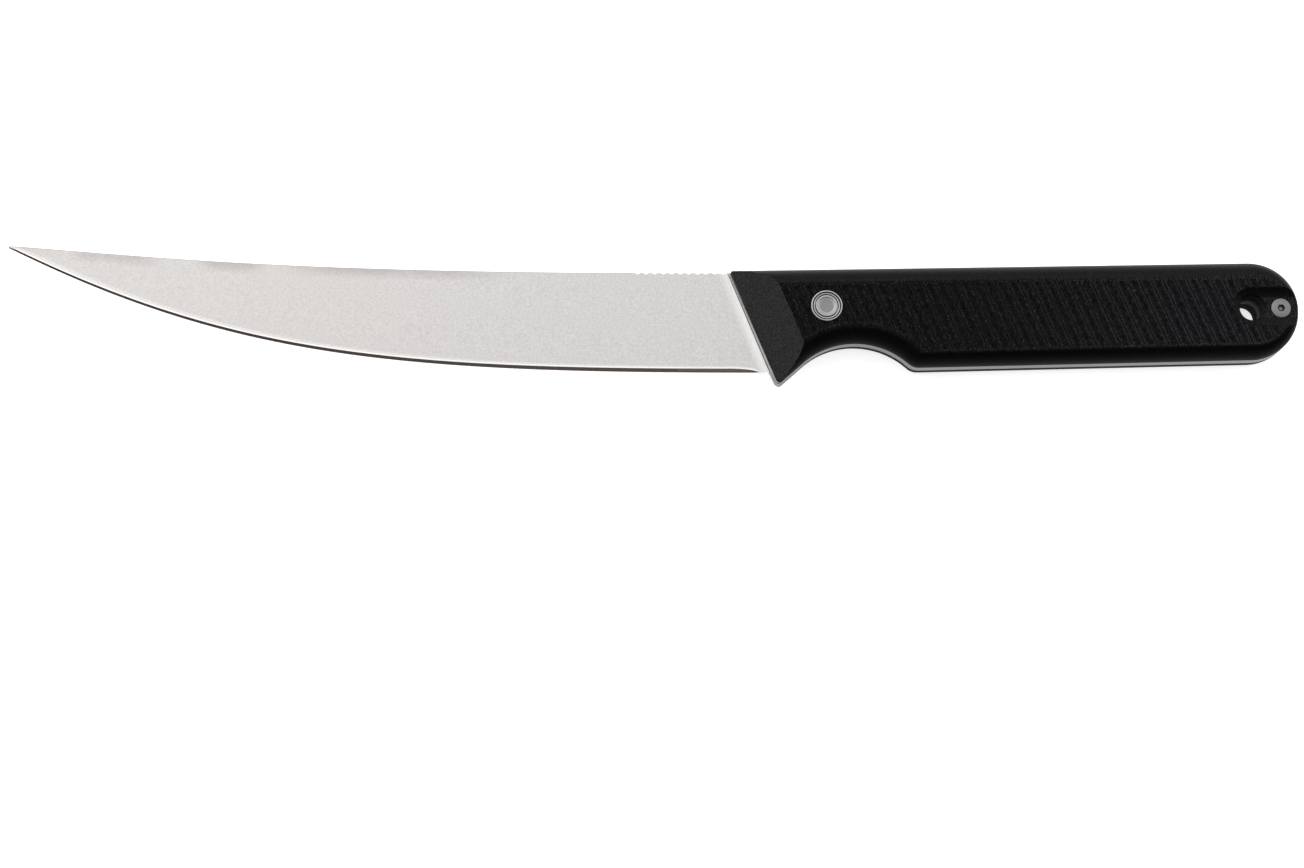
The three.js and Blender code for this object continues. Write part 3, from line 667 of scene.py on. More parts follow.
# %% Lines and corners of the handle
HANDLE_LENGTH = 123.8
TOP_SLOPE = math.tan(math.radians(0.9))
BOTTOM_SLOPE = math.tan(math.radians(1.31))
FINGER_X, FINGER_RADIUS, FLARE_SLOPE = 26.95, 16.95, math.tan(math.radians(41.5))
GRIP_AT_FINGER, GRIP_HEIGHT = 16.45, 21.85
FRONT_CORNER, SPUR_CORNER, GRIP_CORNER, LEAST_BEND = 0.3, 0.9, 3.5, 0.02
BUTT_ROUNDING, BUTT_SLOPE = 0.495, math.tan(math.radians(2.2))
ROUND, TOP_ROUND, FINGER_ROUND = 2.5, 4.2, 3.4
finger_top = TOP_SLOPE * FINGER_X
notch_peak = finger_top - GRIP_AT_FINGER + FINGER_RADIUS * (math.hypot(1, FLARE_SLOPE) - 1)
grip_x = FINGER_X + (notch_peak - finger_top + GRIP_HEIGHT) / FLARE_SLOPE
grip_bottom = finger_top - GRIP_HEIGHT


def bottom_line(x):
    return grip_bottom + BOTTOM_SLOPE * (x - grip_x)


butt_height = TOP_SLOPE * HANDLE_LENGTH - bottom_line(HANDLE_LENGTH)
butt_radius = BUTT_ROUNDING * butt_height
butt_lean = BUTT_SLOPE * butt_height / 2


def handle_corners(lead):
    """Corners as place, radius, steps and the roundover of the line that follows."""
    spur_y = (notch_peak - FLARE_SLOPE * (FINGER_X + lead)) / (1 + math.tan(RAKE) * FLARE_SLOPE)
    foot, head = HANDLE_LENGTH - butt_lean, HANDLE_LENGTH + butt_lean
    return [
        ((-lead, -lead * TOP_SLOPE), FRONT_CORNER, 8, ROUND),
        ((-lead - math.tan(RAKE) * spur_y, spur_y), SPUR_CORNER, 14, FINGER_ROUND),
        ((FINGER_X, notch_peak), FINGER_RADIUS, 40, FINGER_ROUND),
        ((grip_x, grip_bottom), GRIP_CORNER, 14, ROUND),
        ((foot, bottom_line(foot)), butt_radius, 40, ROUND),
        ((head, TOP_SLOPE * head), butt_radius, 40, TOP_ROUND),
    ]


print("handle:", len(handle_corners(0)), "corners, butt", round(butt_height, 2), "mm high")

# %% [markdown]
# An outline follows from the corners. Every line is set in by the same share of its roundover's
# width, neighbouring lines are crossed, and an arc rounds the place where they meet. Share 0 is the
# full outline and share 1 is the edge of the flat face, so a rounded edge is a stack of shares. The
# lines are set in as wholes, which keeps corners from crossing.

# %% Handle outlines and slabs
def handle_outline(lead, share):
    """Points round the handle. Lead moves its front forward, and share sets its lines in."""
    corners = handle_corners(lead)
    spots = [np.array(corner[0], float) for corner in corners]
    insets = [corner[3] * share for corner in corners]
    along = [spots[(i + 1) % len(spots)] - spot for i, spot in enumerate(spots)]
    along = [v / np.linalg.norm(v) for v in along]
    starts = [spot + w * np.array([-v[1], v[0]]) for spot, w, v in zip(spots, insets, along)]
    outline = []
    for i, (_, radius, steps, _) in enumerate(corners):
        arrive, leave = along[i - 1], along[i]
        cross = arrive[0] * leave[1] - arrive[1] * leave[0]
        gap = starts[i] - starts[i - 1]
        corner = starts[i - 1] + arrive * ((gap[0] * leave[1] - gap[1] * leave[0]) / cross)
        turn = math.atan2(cross, arrive @ leave)
        side = math.copysign(1, turn)
        bend = max(LEAST_BEND, radius - side * max(insets[i - 1], insets[i]))
        begin = corner - arrive * bend * math.tan(abs(turn) / 2)
        centre = begin + side * bend * np.array([-arrive[1], arrive[0]])
        arm = begin - centre
        for a in np.linspace(0, turn, steps + 1):
            c, s = math.cos(a), math.sin(a)
            outline.append(centre + (arm[0] * c - arm[1] * s, arm[0] * s + arm[1] * c))
    return outline


def handle_slab(name, lead, layers, finish):
    """A body of handle outlines, one for each layer of (z, share that its lines are set in)."""
    rings = [[(p[0], p[1], z) for p in handle_outline(lead, share)] for z, share in layers]
    return bench_piece(name, *ring_loft(rings), finish)


print("handle outline:", len(handle_outline(0, 0)), "points")

# %% [markdown]
# The tang is the handle's outline in plate, as thick as the spine, with the corners broken. It is
# one piece of steel with the blade, so a Boolean union joins the two. The holes for the fastener,
# the screw and the lanyard go through it. Its flat sides, which the scales cover, take the blade's
# own finish again.

# %% Tang, joined to the blade
HALF_STOCK = STOCK / 2
PIN_X, PIN_DROP = 20.55, 9.1
FRONT_PIN = (PIN_X, TOP_SLOPE * PIN_X - PIN_DROP)
LANYARD_X, LANYARD_RADIUS = HANDLE_LENGTH - 10.6, 2.7
TROUGH_Y = (TOP_SLOPE * LANYARD_X + bottom_line(LANYARD_X)) / 2
LANYARD = (LANYARD_X, TROUGH_Y)
REAR_SCREW = (HANDLE_LENGTH - 4.3, TROUGH_Y)
PIN_GAP = 0.15
BARREL_RADIUS, SLEEVE_RADIUS = 2.0, 1.6
BREAK, BREAK_SHARE = 0.12, 0.04
tang = handle_slab("tang", RICASSO, [
    (-HALF_STOCK, BREAK_SHARE), (BREAK - HALF_STOCK, 0),
    (HALF_STOCK - BREAK, 0), (HALF_STOCK, BREAK_SHARE),
], TANG_STEEL)
machined(blade, "UNION", tang)
hole_sizes = (
    (BARREL_RADIUS + PIN_GAP, FRONT_PIN),
    (SLEEVE_RADIUS + PIN_GAP, REAR_SCREW),
    (LANYARD_RADIUS, LANYARD),
)
machined(blade, "DIFFERENCE", *[
    bench_piece("hole", *bar(radius, -STOCK, STOCK, at), BORE_STEEL) for radius, at in hole_sizes
])
for polygon in blade.data.polygons:
    if abs(polygon.center.z) > HALF_STOCK - 0.01 and abs(polygon.normal.z) > 0.9:
        polygon.material_index = FLAT
print("blade and tang:", len(blade.data.polygons), "faces,", [m.name for m in blade.data.materials])

# %% [markdown]
# What repeats is grown by Geometry Nodes. A tree is built here in code: its named inputs are the
# sizes, and it ends in Realize Instances, which turns copies into real faces, and in Set Material.
# It runs on an empty mesh, and the result is kept as a plain mesh, so that nothing is left live.

# %% Helpers for the node trees
FLOAT, WHOLE, VECTOR = "NodeSocketFloat", "NodeSocketInt", "NodeSocketVector"


def growth_tree(name, inputs):
    """A Geometry Nodes tree with named inputs. Returns the tree and its inputs' sockets."""
    tree = bpy.data.node_groups.new(name, "GeometryNodeTree")
    tree.interface.new_socket("Geometry", in_out="INPUT", socket_type="NodeSocketGeometry")
    for label, (kind, value) in inputs.items():
        socket = tree.interface.new_socket(label, in_out="INPUT", socket_type=kind)
        socket.default_value = value
    tree.interface.new_socket("Geometry", in_out="OUTPUT", socket_type="NodeSocketGeometry")
    return tree, tree.nodes.new("NodeGroupInput").outputs


def end_tree(tree, geometry, material):
    real = make(tree, "GeometryNodeRealizeInstances", {"Geometry": geometry})
    painted = make(tree, "GeometryNodeSetMaterial", {"Geometry": real.outputs[0], "Material": material})
    result = tree.nodes.new("NodeGroupOutput")
    tree.links.new(painted.outputs[0], result.inputs[0])


def grown(name, tree, values):
    """Runs a tree on an empty mesh with these values and returns a plain mesh object."""
    piece = add_to_scene(name, bpy.data.meshes.new(name))
    growth = piece.modifiers.new("growth", "NODES")
    growth.node_group = tree
    for item in tree.interface.items_tree:
        if item.item_type == "SOCKET" and item.in_out == "INPUT" and item.name in values:
            growth[item.identifier] = values[item.name]
    return made_plain(piece)


# %% [markdown]
# The thumb notches are shallow round cuts along the spine, so that the thumb doesn't slip forward.
# The tree draws the spine as a Bezier segment, trims it to the stretch in front of the handle,
# resamples it to one point for each notch and sets a round bar on each point. The bars then cut
# the spine. Points on the curve follow its rise by themselves, which a straight row wouldn't.

# %% Thumb notches on the spine
NOTCH_COUNT, NOTCH_PITCH, NOTCH_START = 11, 1.86, 1.5
NOTCH_RADIUS, NOTCH_DEPTH = 0.62, 0.3
ORIGIN = (0, 0, 0)
notch_tree, asked = growth_tree("thumb_notches", {
    "Count": (WHOLE, 11), "First": (FLOAT, 2.0), "Last": (FLOAT, 20.0), "Radius": (FLOAT, 0.6),
    "Depth": (FLOAT, 0.3), "Width": (FLOAT, 5.0), "Start": (VECTOR, ORIGIN),
    "Start Handle": (VECTOR, ORIGIN), "End Handle": (VECTOR, ORIGIN), "End": (VECTOR, ORIGIN),
})
curve_ends = ("Start", "Start Handle", "End Handle", "End")
spine_segment = make(notch_tree, "GeometryNodeCurvePrimitiveBezierSegment", {
    "Resolution": 200, **{label: asked[label] for label in curve_ends},
})
stretch = make(notch_tree, "GeometryNodeTrimCurve", {"Curve": spine_segment.outputs[0]}, mode="LENGTH")
lengths = [s for s in stretch.inputs if s.name in ("Start", "End") and s.enabled]
wire(notch_tree, lengths[0], asked["First"])
wire(notch_tree, lengths[1], asked["Last"])
spots = make(notch_tree, "GeometryNodeResampleCurve", {
    "Curve": stretch.outputs[0], "Count": asked["Count"],
})
rod = make(notch_tree, "GeometryNodeMeshCylinder", {
    "Vertices": 40, "Radius": asked["Radius"], "Depth": asked["Width"],
})
raise_by = reckon(notch_tree, "SUBTRACT", asked["Radius"], asked["Depth"])
lift = make(notch_tree, "ShaderNodeCombineXYZ", {"Y": raise_by})
raised_rod = make(notch_tree, "GeometryNodeTransform", {
    "Geometry": rod.outputs[0], "Translation": lift.outputs[0],
})
row = make(notch_tree, "GeometryNodeInstanceOnPoints", {
    "Points": spots.outputs[0], "Instance": raised_rod.outputs[0],
})
end_tree(notch_tree, row.outputs[0], NOTCH_STEEL)
notches = grown("thumb_notch_bars", notch_tree, {
    "Count": NOTCH_COUNT, "First": NOTCH_START, "Last": NOTCH_START + NOTCH_PITCH * (NOTCH_COUNT - 1),
    "Radius": NOTCH_RADIUS, "Depth": NOTCH_DEPTH, "Width": 2 * STOCK,
    **{label: (*corner, 0) for label, corner in zip(curve_ends, spine_corners)},
})
print("notch bars:", len(notches.data.polygons), "faces")
machined(blade, "DIFFERENCE", notches)
print("blade after notching:", len(blade.data.polygons), "faces")

# %% [markdown]
# A scale starts as a blank: the handle's outline with an elliptical roundover on its outer edge.
# The blank is then machined as the real one is. A ramp thins it to the front, a comb of grooves
# leaves the ribs, a round-sided trough is milled in from the butt, and pockets take the heads.
# Each cutter carries the finish that its cut surface should have, and the Boolean passes it on.

# %% Scale blank and the ramp at its front
SCALE_THICKNESS, NOSE_THICKNESS = 5.0, 1.6
FACE_Z = HALF_STOCK + SCALE_THICKNESS
NOSE_Z = HALF_STOCK + NOSE_THICKNESS
ROUND_DEPTH, ROUND_STEPS = 4.2, 18
layers = [(HALF_STOCK, 0.0)]
for step in range(ROUND_STEPS + 1):
    a = math.pi / 2 * step / ROUND_STEPS
    layers.append((FACE_Z - ROUND_DEPTH * (1 - math.sin(a)), 1 - math.cos(a)))
left_scale = handle_slab("left_scale_laminate", 0, layers, EDGE_LAMINATE)

behind = np.array([math.cos(RAKE), math.sin(RAKE), 0])
down_rib = np.array([math.sin(RAKE), -math.cos(RAKE), 0])


def raked_prism(name, profile, finish, reach=60.0):
    """A prism along the ribs. Its profile is (distance behind the handle's front, z)."""
    near = [behind * d + (0, 0, z) - down_rib * reach for d, z in profile]
    far = [behind * d + (0, 0, z) + down_rib * reach for d, z in profile]
    return bench_piece(name, *ring_loft([near, far]), finish)


RAMP_AHEAD, RAMP_BEHIND = -8, 16
ramp_slope = (SCALE_THICKNESS - NOSE_THICKNESS) / RAMP_RUN
ramp_low, ramp_high = NOSE_Z + RAMP_AHEAD * ramp_slope, NOSE_Z + RAMP_BEHIND * ramp_slope
ramp_profile = [(RAMP_AHEAD, ramp_low), (RAMP_BEHIND, ramp_high), (RAMP_AHEAD, ramp_high)]
machined(left_scale, "DIFFERENCE", raked_prism("ramp", ramp_profile, RAMP_LAMINATE))
print("scale blank with ramp:", len(left_scale.data.polygons), "faces")

# %% [markdown]
# The ribs are what is left between parallel grooves. In the tree, a line of points carries one
# four-sided bar each, and the point's index decides whether its groove is a deep or a fine one.
# A groove's size is half its width, its length and its depth. The whole comb is turned to the rake of
# the handle's front and set on the face of the scale. A slab of the handle's outline, set in a little
# further than the roundover, trims the comb, so that the grooves end on the flat.

# %% Comb of grooves that leaves the ribs
VECTOR_A, VECTOR_B, VECTOR_OUT = 4, 5, 1
DEEP_GROOVE, FINE_GROOVE = (0.44, 1, 0.3), (0.22, 1, 0.14)
RIB_LENGTH, RIB_WINDOW = 120.0, 1.1
rib_tree, asked = growth_tree("rib_comb", {
    "Count": (WHOLE, 80), "First": (FLOAT, 9.0), "Pitch": (FLOAT, 1.2), "Length": (FLOAT, 80.0),
    "Deep Groove": (VECTOR, (0.4, 1, 0.4)), "Fine Groove": (VECTOR, (0.25, 1, 0.2)),
    "Rake": (FLOAT, 0.36), "Face Height": (FLOAT, 6.3),
})
first_spot = make(rib_tree, "ShaderNodeCombineXYZ", {"X": asked["First"]})
next_spot = make(rib_tree, "ShaderNodeCombineXYZ", {"X": asked["Pitch"]})
line = make(rib_tree, "GeometryNodeMeshLine", {
    "Count": asked["Count"], "Start Location": first_spot.outputs[0], "Offset": next_spot.outputs[0],
})
keel = make(rib_tree, "GeometryNodeMeshCylinder", {
    "Vertices": 4, "Radius": 1.0, "Depth": asked["Length"],
})
laid_keel = make(rib_tree, "GeometryNodeTransform", {
    "Geometry": keel.outputs[0], "Rotation": (math.pi / 2, 0, 0),
})
odd = reckon(rib_tree, "MODULO", make(rib_tree, "GeometryNodeInputIndex").outputs[0], 2.0)
groove_sizes = {MIX_SHARE: odd, VECTOR_A: asked["Deep Groove"], VECTOR_B: asked["Fine Groove"]}
size = make(rib_tree, "ShaderNodeMix", groove_sizes, data_type="VECTOR")
row = make(rib_tree, "GeometryNodeInstanceOnPoints", {
    "Points": line.outputs[0], "Instance": laid_keel.outputs[0], "Scale": size.outputs[VECTOR_OUT],
})
turn = make(rib_tree, "ShaderNodeCombineXYZ", {"Z": asked["Rake"]})
lift = make(rib_tree, "ShaderNodeCombineXYZ", {"Z": asked["Face Height"]})
comb = make(rib_tree, "GeometryNodeTransform", {
    "Geometry": row.outputs[0], "Rotation": turn.outputs[0], "Translation": lift.outputs[0],
})
end_tree(rib_tree, comb.outputs[0], GROOVE_LAMINATE)
rib_first = RAMP_RUN + RIB_START
rib_count = int((HANDLE_LENGTH * math.cos(RAKE) - rib_first) / RIB_PITCH) + 1
grooves = grown("rib_comb_bars", rib_tree, {
    "Count": rib_count, "First": rib_first, "Pitch": RIB_PITCH, "Length": RIB_LENGTH,
    "Deep Groove": DEEP_GROOVE, "Fine Groove": FINE_GROOVE, "Rake": RAKE, "Face Height": FACE_Z,
})
print("comb:", rib_count, "grooves,", len(grooves.data.polygons), "faces")
window_layers = [(FACE_Z - 1, RIB_WINDOW), (FACE_Z + 1, RIB_WINDOW)]
machined(grooves, "INTERSECT", handle_slab("rib_window", 0, window_layers, GROOVE_LAMINATE))
machined(left_scale, "DIFFERENCE", grooves)
print("ribbed scale:", len(left_scale.data.polygons), "faces")

# %% [markdown]
# At the butt a trough with hollow sides runs out over the end, so that a cord through the lanyard
# hole would lie below the ribs. Its cutter is a round-nosed mill: a turned end about the hole and a
# straight run to the butt with the same profile. The wall on the spine's side faces the edge and
# lies in shade, painted into the finish, which darkens towards it. A small cone breaks the rim of
# the hole.

# %% Trough and lanyard hole
TROUGH_DEPTH, TROUGH_COVE, TROUGH_FLOOR = 1.15, 2.9, 4.2
COVE_STEPS, ABOVE_FACE, PAST_BUTT, RIM = 14, 4, 40, 0.3
FLOOR_Z = FACE_Z - TROUGH_DEPTH
HIGH_Z = FACE_Z + ABOVE_FACE
trough_middle = bench_zero.y + TROUGH_Y * MM
# Its graded tone is painted shade on the trough's wall on the spine's side.
TROUGH_LAMINATE = laminate(
    "laminate_milled", grey(0.0004), grey(0.0185), 0.5, 0.08, 0.3,
    graded=(grey(0.0035), "Y", trough_middle + 1.2 * MM, trough_middle + 2.6 * MM),
)
sweep = math.acos(1 - TROUGH_DEPTH / TROUGH_COVE)
cove = []
for step in range(COVE_STEPS + 1):
    a = sweep * step / COVE_STEPS
    out, rise = TROUGH_COVE * math.sin(a), TROUGH_COVE * (1 - math.cos(a))
    cove.append((TROUGH_FLOOR / 2 + out, FLOOR_Z + rise))
cove.append((cove[-1][0], HIGH_Z))
mill = [(LANYARD_X, TROUGH_Y + y, z) for y, z in cove]
mill += [(LANYARD_X, TROUGH_Y - y, z) for y, z in reversed(cove)]
mill_end = [(x + PAST_BUTT, y, z) for x, y, z in mill]
mill_nose = [(0, FLOOR_Z), *cove, (0, HIGH_Z)]
hole_rim = [
    (0, FLOOR_Z - RIM), (LANYARD_RADIUS, FLOOR_Z - RIM),
    (LANYARD_RADIUS + 2 * RIM, FLOOR_Z + RIM), (0, FLOOR_Z + RIM),
]
milled = [
    bench_piece("trough_end", *turned(mill_nose, at=LANYARD), TROUGH_LAMINATE),
    bench_piece("trough_run", *ring_loft([mill, mill_end]), TROUGH_LAMINATE),
    bench_piece("lanyard_rim", *turned(hole_rim, at=LANYARD), TROUGH_LAMINATE),
]
print("cutters of the trough:", [piece.name for piece in milled])

# %% [markdown]
# The pockets are plain bars, one for each head and one for each shank. All cuts of the scale are
# made in one go. Where two cutters meet, a cut can leave corners that almost coincide, and
# an exporter would make faces without area of them. A weld of two thousandths of a millimetre
# takes them out.

# %% Pockets for the fasteners, and the cuts
COLLAR_RADIUS, COLLAR_HEIGHT = 3.4, 2.0
SCREW_HEAD_RADIUS, SCREW_HEAD_HEIGHT = 2.2, 1.0
HEAD_RECESS = 0.05
COLLAR_TOP = FACE_Z - HEAD_RECESS
COLLAR_LOW = COLLAR_TOP - COLLAR_HEIGHT
REAR_TOP = FLOOR_Z - HEAD_RECESS
REAR_SEAT = REAR_TOP - SCREW_HEAD_HEIGHT
WELD = 0.002
pocket_sizes = (
    ("collar_pocket", COLLAR_RADIUS + PIN_GAP, COLLAR_LOW, FRONT_PIN),
    ("barrel_hole", BARREL_RADIUS + PIN_GAP, 0, FRONT_PIN),
    ("screw_pocket", SCREW_HEAD_RADIUS + PIN_GAP, REAR_SEAT, REAR_SCREW),
    ("sleeve_hole", SLEEVE_RADIUS + PIN_GAP, 0, REAR_SCREW),
    ("lanyard_hole", LANYARD_RADIUS, 0, LANYARD),
)
pockets = []
for name, radius, low, at in pocket_sizes:
    pockets.append(bench_piece(name, *bar(radius, low, HIGH_Z, at), BORE_LAMINATE))
machined(left_scale, "DIFFERENCE", *milled, *pockets)
form = bmesh.new()
form.from_mesh(left_scale.data)
bmesh.ops.dissolve_degenerate(form, edges=form.edges, dist=WELD)
form.to_mesh(left_scale.data)
form.free()
print("scale:", len(left_scale.data.polygons), "faces,", [m.name for m in left_scale.data.materials])

# %% [markdown]
# The lands between the grooves still have the finish of the blank. They lie in the plane of the
# face, so their height finds them, and so does that of the trough's flat floor, which was milled
# with the same tool. Both take the ribbed finish. The right scale is the same piece, mirrored.

# %% Lands of the ribs, the trough's floor and the right scale
left_scale.data.materials.append(RIB_LAMINATE)
rib_slot = left_scale.data.materials.find(RIB_LAMINATE.name)
lands = 0
for polygon in left_scale.data.polygons:
    on_land = polygon.center.z > FACE_Z - 0.01
    on_floor = abs(polygon.center.z - FLOOR_Z) < 0.005
    if (on_land or on_floor) and polygon.normal.z > 0.98:
        polygon.material_index = rib_slot
        lands += 1
print("lands between the grooves, and the floor:", lands)
right_scale = other_side(left_scale, "right_scale_laminate")

# %% [markdown]
# Turned steel keeps faint rings from the lathe. A ring is a place at one distance from the axis, so
# the finish takes that distance as the only coordinate of a noise. A second, even noise keeps the
# rings from looking drawn. Each fastener has its own axis, and so its own material.

# %% Turned steel with lathe rings
def turned_steel(name, base, roughness, axis_at, ring_depth):
    material, tree, shader = finish_tree(name)
    place = object_place(tree)
    centre = bench_zero + Vector((axis_at[0], axis_at[1], 0)) * MM
    out = make(tree, "ShaderNodeVectorMath", {0: place, 1: (-centre.x, -centre.y, 0.0)}, operation="ADD")
    flat = make(tree, "ShaderNodeVectorMath", {0: out.outputs[0], 1: (1, 1, 0)}, operation="MULTIPLY")
    away = make(tree, "ShaderNodeVectorMath", {0: flat.outputs[0]}, operation="LENGTH")
    sockets = {"W": away.outputs["Value"], "Scale": 9000.0, "Detail": 2.0}
    rings = make(tree, "ShaderNodeTexNoise", sockets, noise_dimensions="1D").outputs["Fac"]
    grains = grain(tree, place, 5200.0, 3.0)
    mottle = plus(tree, times(tree, rings, 0.55), times(tree, grains, 0.45))
    dark = tuple(0.72 * c for c in base[:3]) + (1,)
    steel = tint(tree, spread(tree, mottle, 0.3, 0.7), dark, base)
    tree.links.new(steel, shader.inputs["Base Color"])
    gloss = spread(tree, mottle, 0.3, 0.7, roughness, roughness + 0.14)
    tree.links.new(gloss, shader.inputs["Roughness"])
    shader.inputs["Metallic"].default_value = 1.0
    bumped(tree, shader, mottle, ring_depth, 0.6)
    return material


COLLAR_STEEL = turned_steel("turned_collar_steel", (0.52, 0.52, 0.52, 1), 0.32, FRONT_PIN, 0.00001)
HEAD_STEEL = turned_steel("turned_head_steel", (0.29, 0.29, 0.295, 1), 0.38, FRONT_PIN, 0.00001)
# A painted highlight for the rim of the nut's dish.
RIM_HIGHLIGHT_STEEL = turned_steel("painted_highlight_rim_steel", (0.52, 0.52, 0.52, 1), 0.46, FRONT_PIN, 0.00001)
SCREW_STEEL = turned_steel("satin_screw_steel", (0.28, 0.28, 0.285, 1), 0.42, REAR_SCREW, 0.000012)
print("finishes:", COLLAR_STEEL.name, HEAD_STEEL.name, RIM_HIGHLIGHT_STEEL.name, SCREW_STEEL.name)

# %% [markdown]
# The front fastener starts with a cup washer, called the collar here: a raised rim, a narrow turned
# groove, a step, and a seat for the head. As a turned part it is one profile spun about the pin. Its
# groove takes painted shade: its faces get the painted shade finish of the plunge wall.

# %% Collar of the front fastener
HEAD_SEAT = COLLAR_LOW + 0.7
COLLAR_BORE = BARREL_RADIUS + PIN_GAP
GROOVE_INSIDE, GROOVE_OUTSIDE, GROOVE_Z = 2.86, 3.1, COLLAR_TOP - 0.5
STEP_INSIDE, STEP_Z = 2.57, COLLAR_TOP - 0.18
collar_profile = [
    (COLLAR_BORE, COLLAR_LOW), (COLLAR_RADIUS - 0.06, COLLAR_LOW), (COLLAR_RADIUS, COLLAR_LOW + 0.06),
    (COLLAR_RADIUS, COLLAR_TOP - 0.1), (COLLAR_RADIUS - 0.03, COLLAR_TOP - 0.03),
    (COLLAR_RADIUS - 0.1, COLLAR_TOP), (GROOVE_OUTSIDE + 0.04, COLLAR_TOP),
    (GROOVE_OUTSIDE, COLLAR_TOP - 0.04), (GROOVE_OUTSIDE - 0.04, GROOVE_Z),
    (GROOVE_INSIDE + 0.02, GROOVE_Z), (GROOVE_INSIDE, STEP_Z - 0.04),
    (GROOVE_INSIDE - 0.04, STEP_Z), (STEP_INSIDE + 0.07, STEP_Z), (STEP_INSIDE + 0.02, STEP_Z - 0.04),
    (STEP_INSIDE, STEP_Z - 0.12), (STEP_INSIDE, HEAD_SEAT), (COLLAR_BORE, HEAD_SEAT),
]
front_collar_left = bench_piece(
    "front_collar_left_ring", *turned(collar_profile, 128, FRONT_PIN), COLLAR_STEEL
)
front_collar_left.data.materials.append(SHADE_WALL_STEEL)


def from_pin(polygon):
    return math.hypot(polygon.center.x - FRONT_PIN[0], polygon.center.y - FRONT_PIN[1])


# Faces in the groove take the painted shade.
for polygon in front_collar_left.data.polygons:
    at_depth = GROOVE_Z - 0.01 < polygon.center.z < COLLAR_TOP - 0.1
    in_groove = at_depth and GROOVE_INSIDE + 0.005 < from_pin(polygon) < GROOVE_OUTSIDE - 0.005
    polygon.material_index = int(in_groove)
print("collar:", len(front_collar_left.data.polygons), "faces")

# %% [markdown]
# Inside the collar sits a barrel nut, whose head is a shallow dish with a painted highlight on its
# rim. From the other side a socket bolt runs into its barrel. Threads would never be seen, so both
# are plain shanks. A six-sided bar cuts the socket: a turned body with six sides is all that takes.

# %% Barrel nut and bolt
HEAD_RADIUS, HEAD_TOP = 2.4, HEAD_SEAT + 1.2
BOLT_RADIUS, THREAD_RADIUS, BOLT_REACH = 1.2, 1.35, 4.4
RIM_INSIDE, RIM_LOW = 1.5, HEAD_SEAT + 0.5
barrel_end = 0.3 - HEAD_SEAT
barrel_floor = barrel_end + BOLT_REACH
dish = [(2.05, HEAD_TOP), (1.96, HEAD_TOP - 0.05), (1.84, HEAD_TOP - 0.13), (1.7, HEAD_TOP - 0.2)]
dish += [(1.5, HEAD_TOP - 0.25), (1.2, HEAD_TOP - 0.28), (0, HEAD_TOP - 0.28)]
nut_profile = [
    (THREAD_RADIUS, barrel_end), (BARREL_RADIUS - 0.06, barrel_end), (BARREL_RADIUS, barrel_end + 0.06),
    (BARREL_RADIUS, HEAD_SEAT), (HEAD_RADIUS - 0.04, HEAD_SEAT), (HEAD_RADIUS, HEAD_SEAT + 0.04),
    (HEAD_RADIUS, HEAD_TOP - 0.14), (HEAD_RADIUS - 0.04, HEAD_TOP - 0.05),
    (HEAD_RADIUS - 0.1, HEAD_TOP - 0.01), (2.24, HEAD_TOP), (2.1, HEAD_TOP), *dish,
    (0, barrel_floor), (THREAD_RADIUS, barrel_floor),
]
front_barrel_nut = bench_piece(
    "front_barrel_nut_dished", *turned(nut_profile, 128, FRONT_PIN), HEAD_STEEL
)
front_barrel_nut.data.materials.append(RIM_HIGHLIGHT_STEEL)
# The rim's faces take the painted highlight.
for polygon in front_barrel_nut.data.polygons:
    on_rim = polygon.center.z > RIM_LOW and from_pin(polygon) > RIM_INSIDE
    polygon.material_index = int(on_rim)


def hex_socket(across, low, high, at, finish=None):
    return bench_piece("hex_socket", *bar(across / 2 / math.cos(math.pi / 6), low, high, at, 6), finish)


bolt_end = HEAD_SEAT - BOLT_REACH
bolt_profile = [
    (0, bolt_end), (BOLT_RADIUS - 0.15, bolt_end), (BOLT_RADIUS, bolt_end + 0.15),
    (BOLT_RADIUS, HEAD_SEAT), (HEAD_RADIUS - 0.04, HEAD_SEAT), (HEAD_RADIUS, HEAD_SEAT + 0.04),
    (HEAD_RADIUS, HEAD_TOP - 0.2), (HEAD_RADIUS - 0.05, HEAD_TOP - 0.08), (HEAD_RADIUS - 0.2, HEAD_TOP),
    (0, HEAD_TOP),
]
front_bolt = bench_piece("front_bolt_socket", *turned(bolt_profile, 128, FRONT_PIN))
machined(front_bolt, "DIFFERENCE", hex_socket(2.0, HEAD_TOP - 0.8, HEAD_TOP + 1, FRONT_PIN))
print("barrel nut and bolt:", [len(p.data.polygons) for p in (front_barrel_nut, front_bolt)], "faces")

# %% [markdown]
# At the butt, a flat screw from each side runs into a sleeve through the tang. Its socket was drilled
# before it was broached, so a small cone is left in the middle of the floor and catches a speck of
# light. The left collar and screw are copied to the right side, and the bolt is turned over to it.

# %% Rear screws, their sleeve and the right side
SHANK_RADIUS, SLEEVE_BORE = 0.8, 0.95
SOCKET_FLOOR, DRILL_FLOOR, DRILL_POINT = REAR_TOP - 0.6, REAR_TOP - 0.58, REAR_TOP - 0.75
shank_end = REAR_SEAT - 2.1
screw_profile = [
    (0, shank_end), (SHANK_RADIUS - 0.1, shank_end), (SHANK_RADIUS, shank_end + 0.1),
    (SHANK_RADIUS, REAR_SEAT), (SCREW_HEAD_RADIUS - 0.05, REAR_SEAT),
    (SCREW_HEAD_RADIUS, REAR_SEAT + 0.05), (SCREW_HEAD_RADIUS, REAR_TOP - 0.17),
    (SCREW_HEAD_RADIUS - 0.05, REAR_TOP - 0.06), (SCREW_HEAD_RADIUS - 0.15, REAR_TOP), (0, REAR_TOP),
]
rear_screw_left = bench_piece(
    "rear_screw_left_flat", *turned(screw_profile, 112, REAR_SCREW), SCREW_STEEL
)
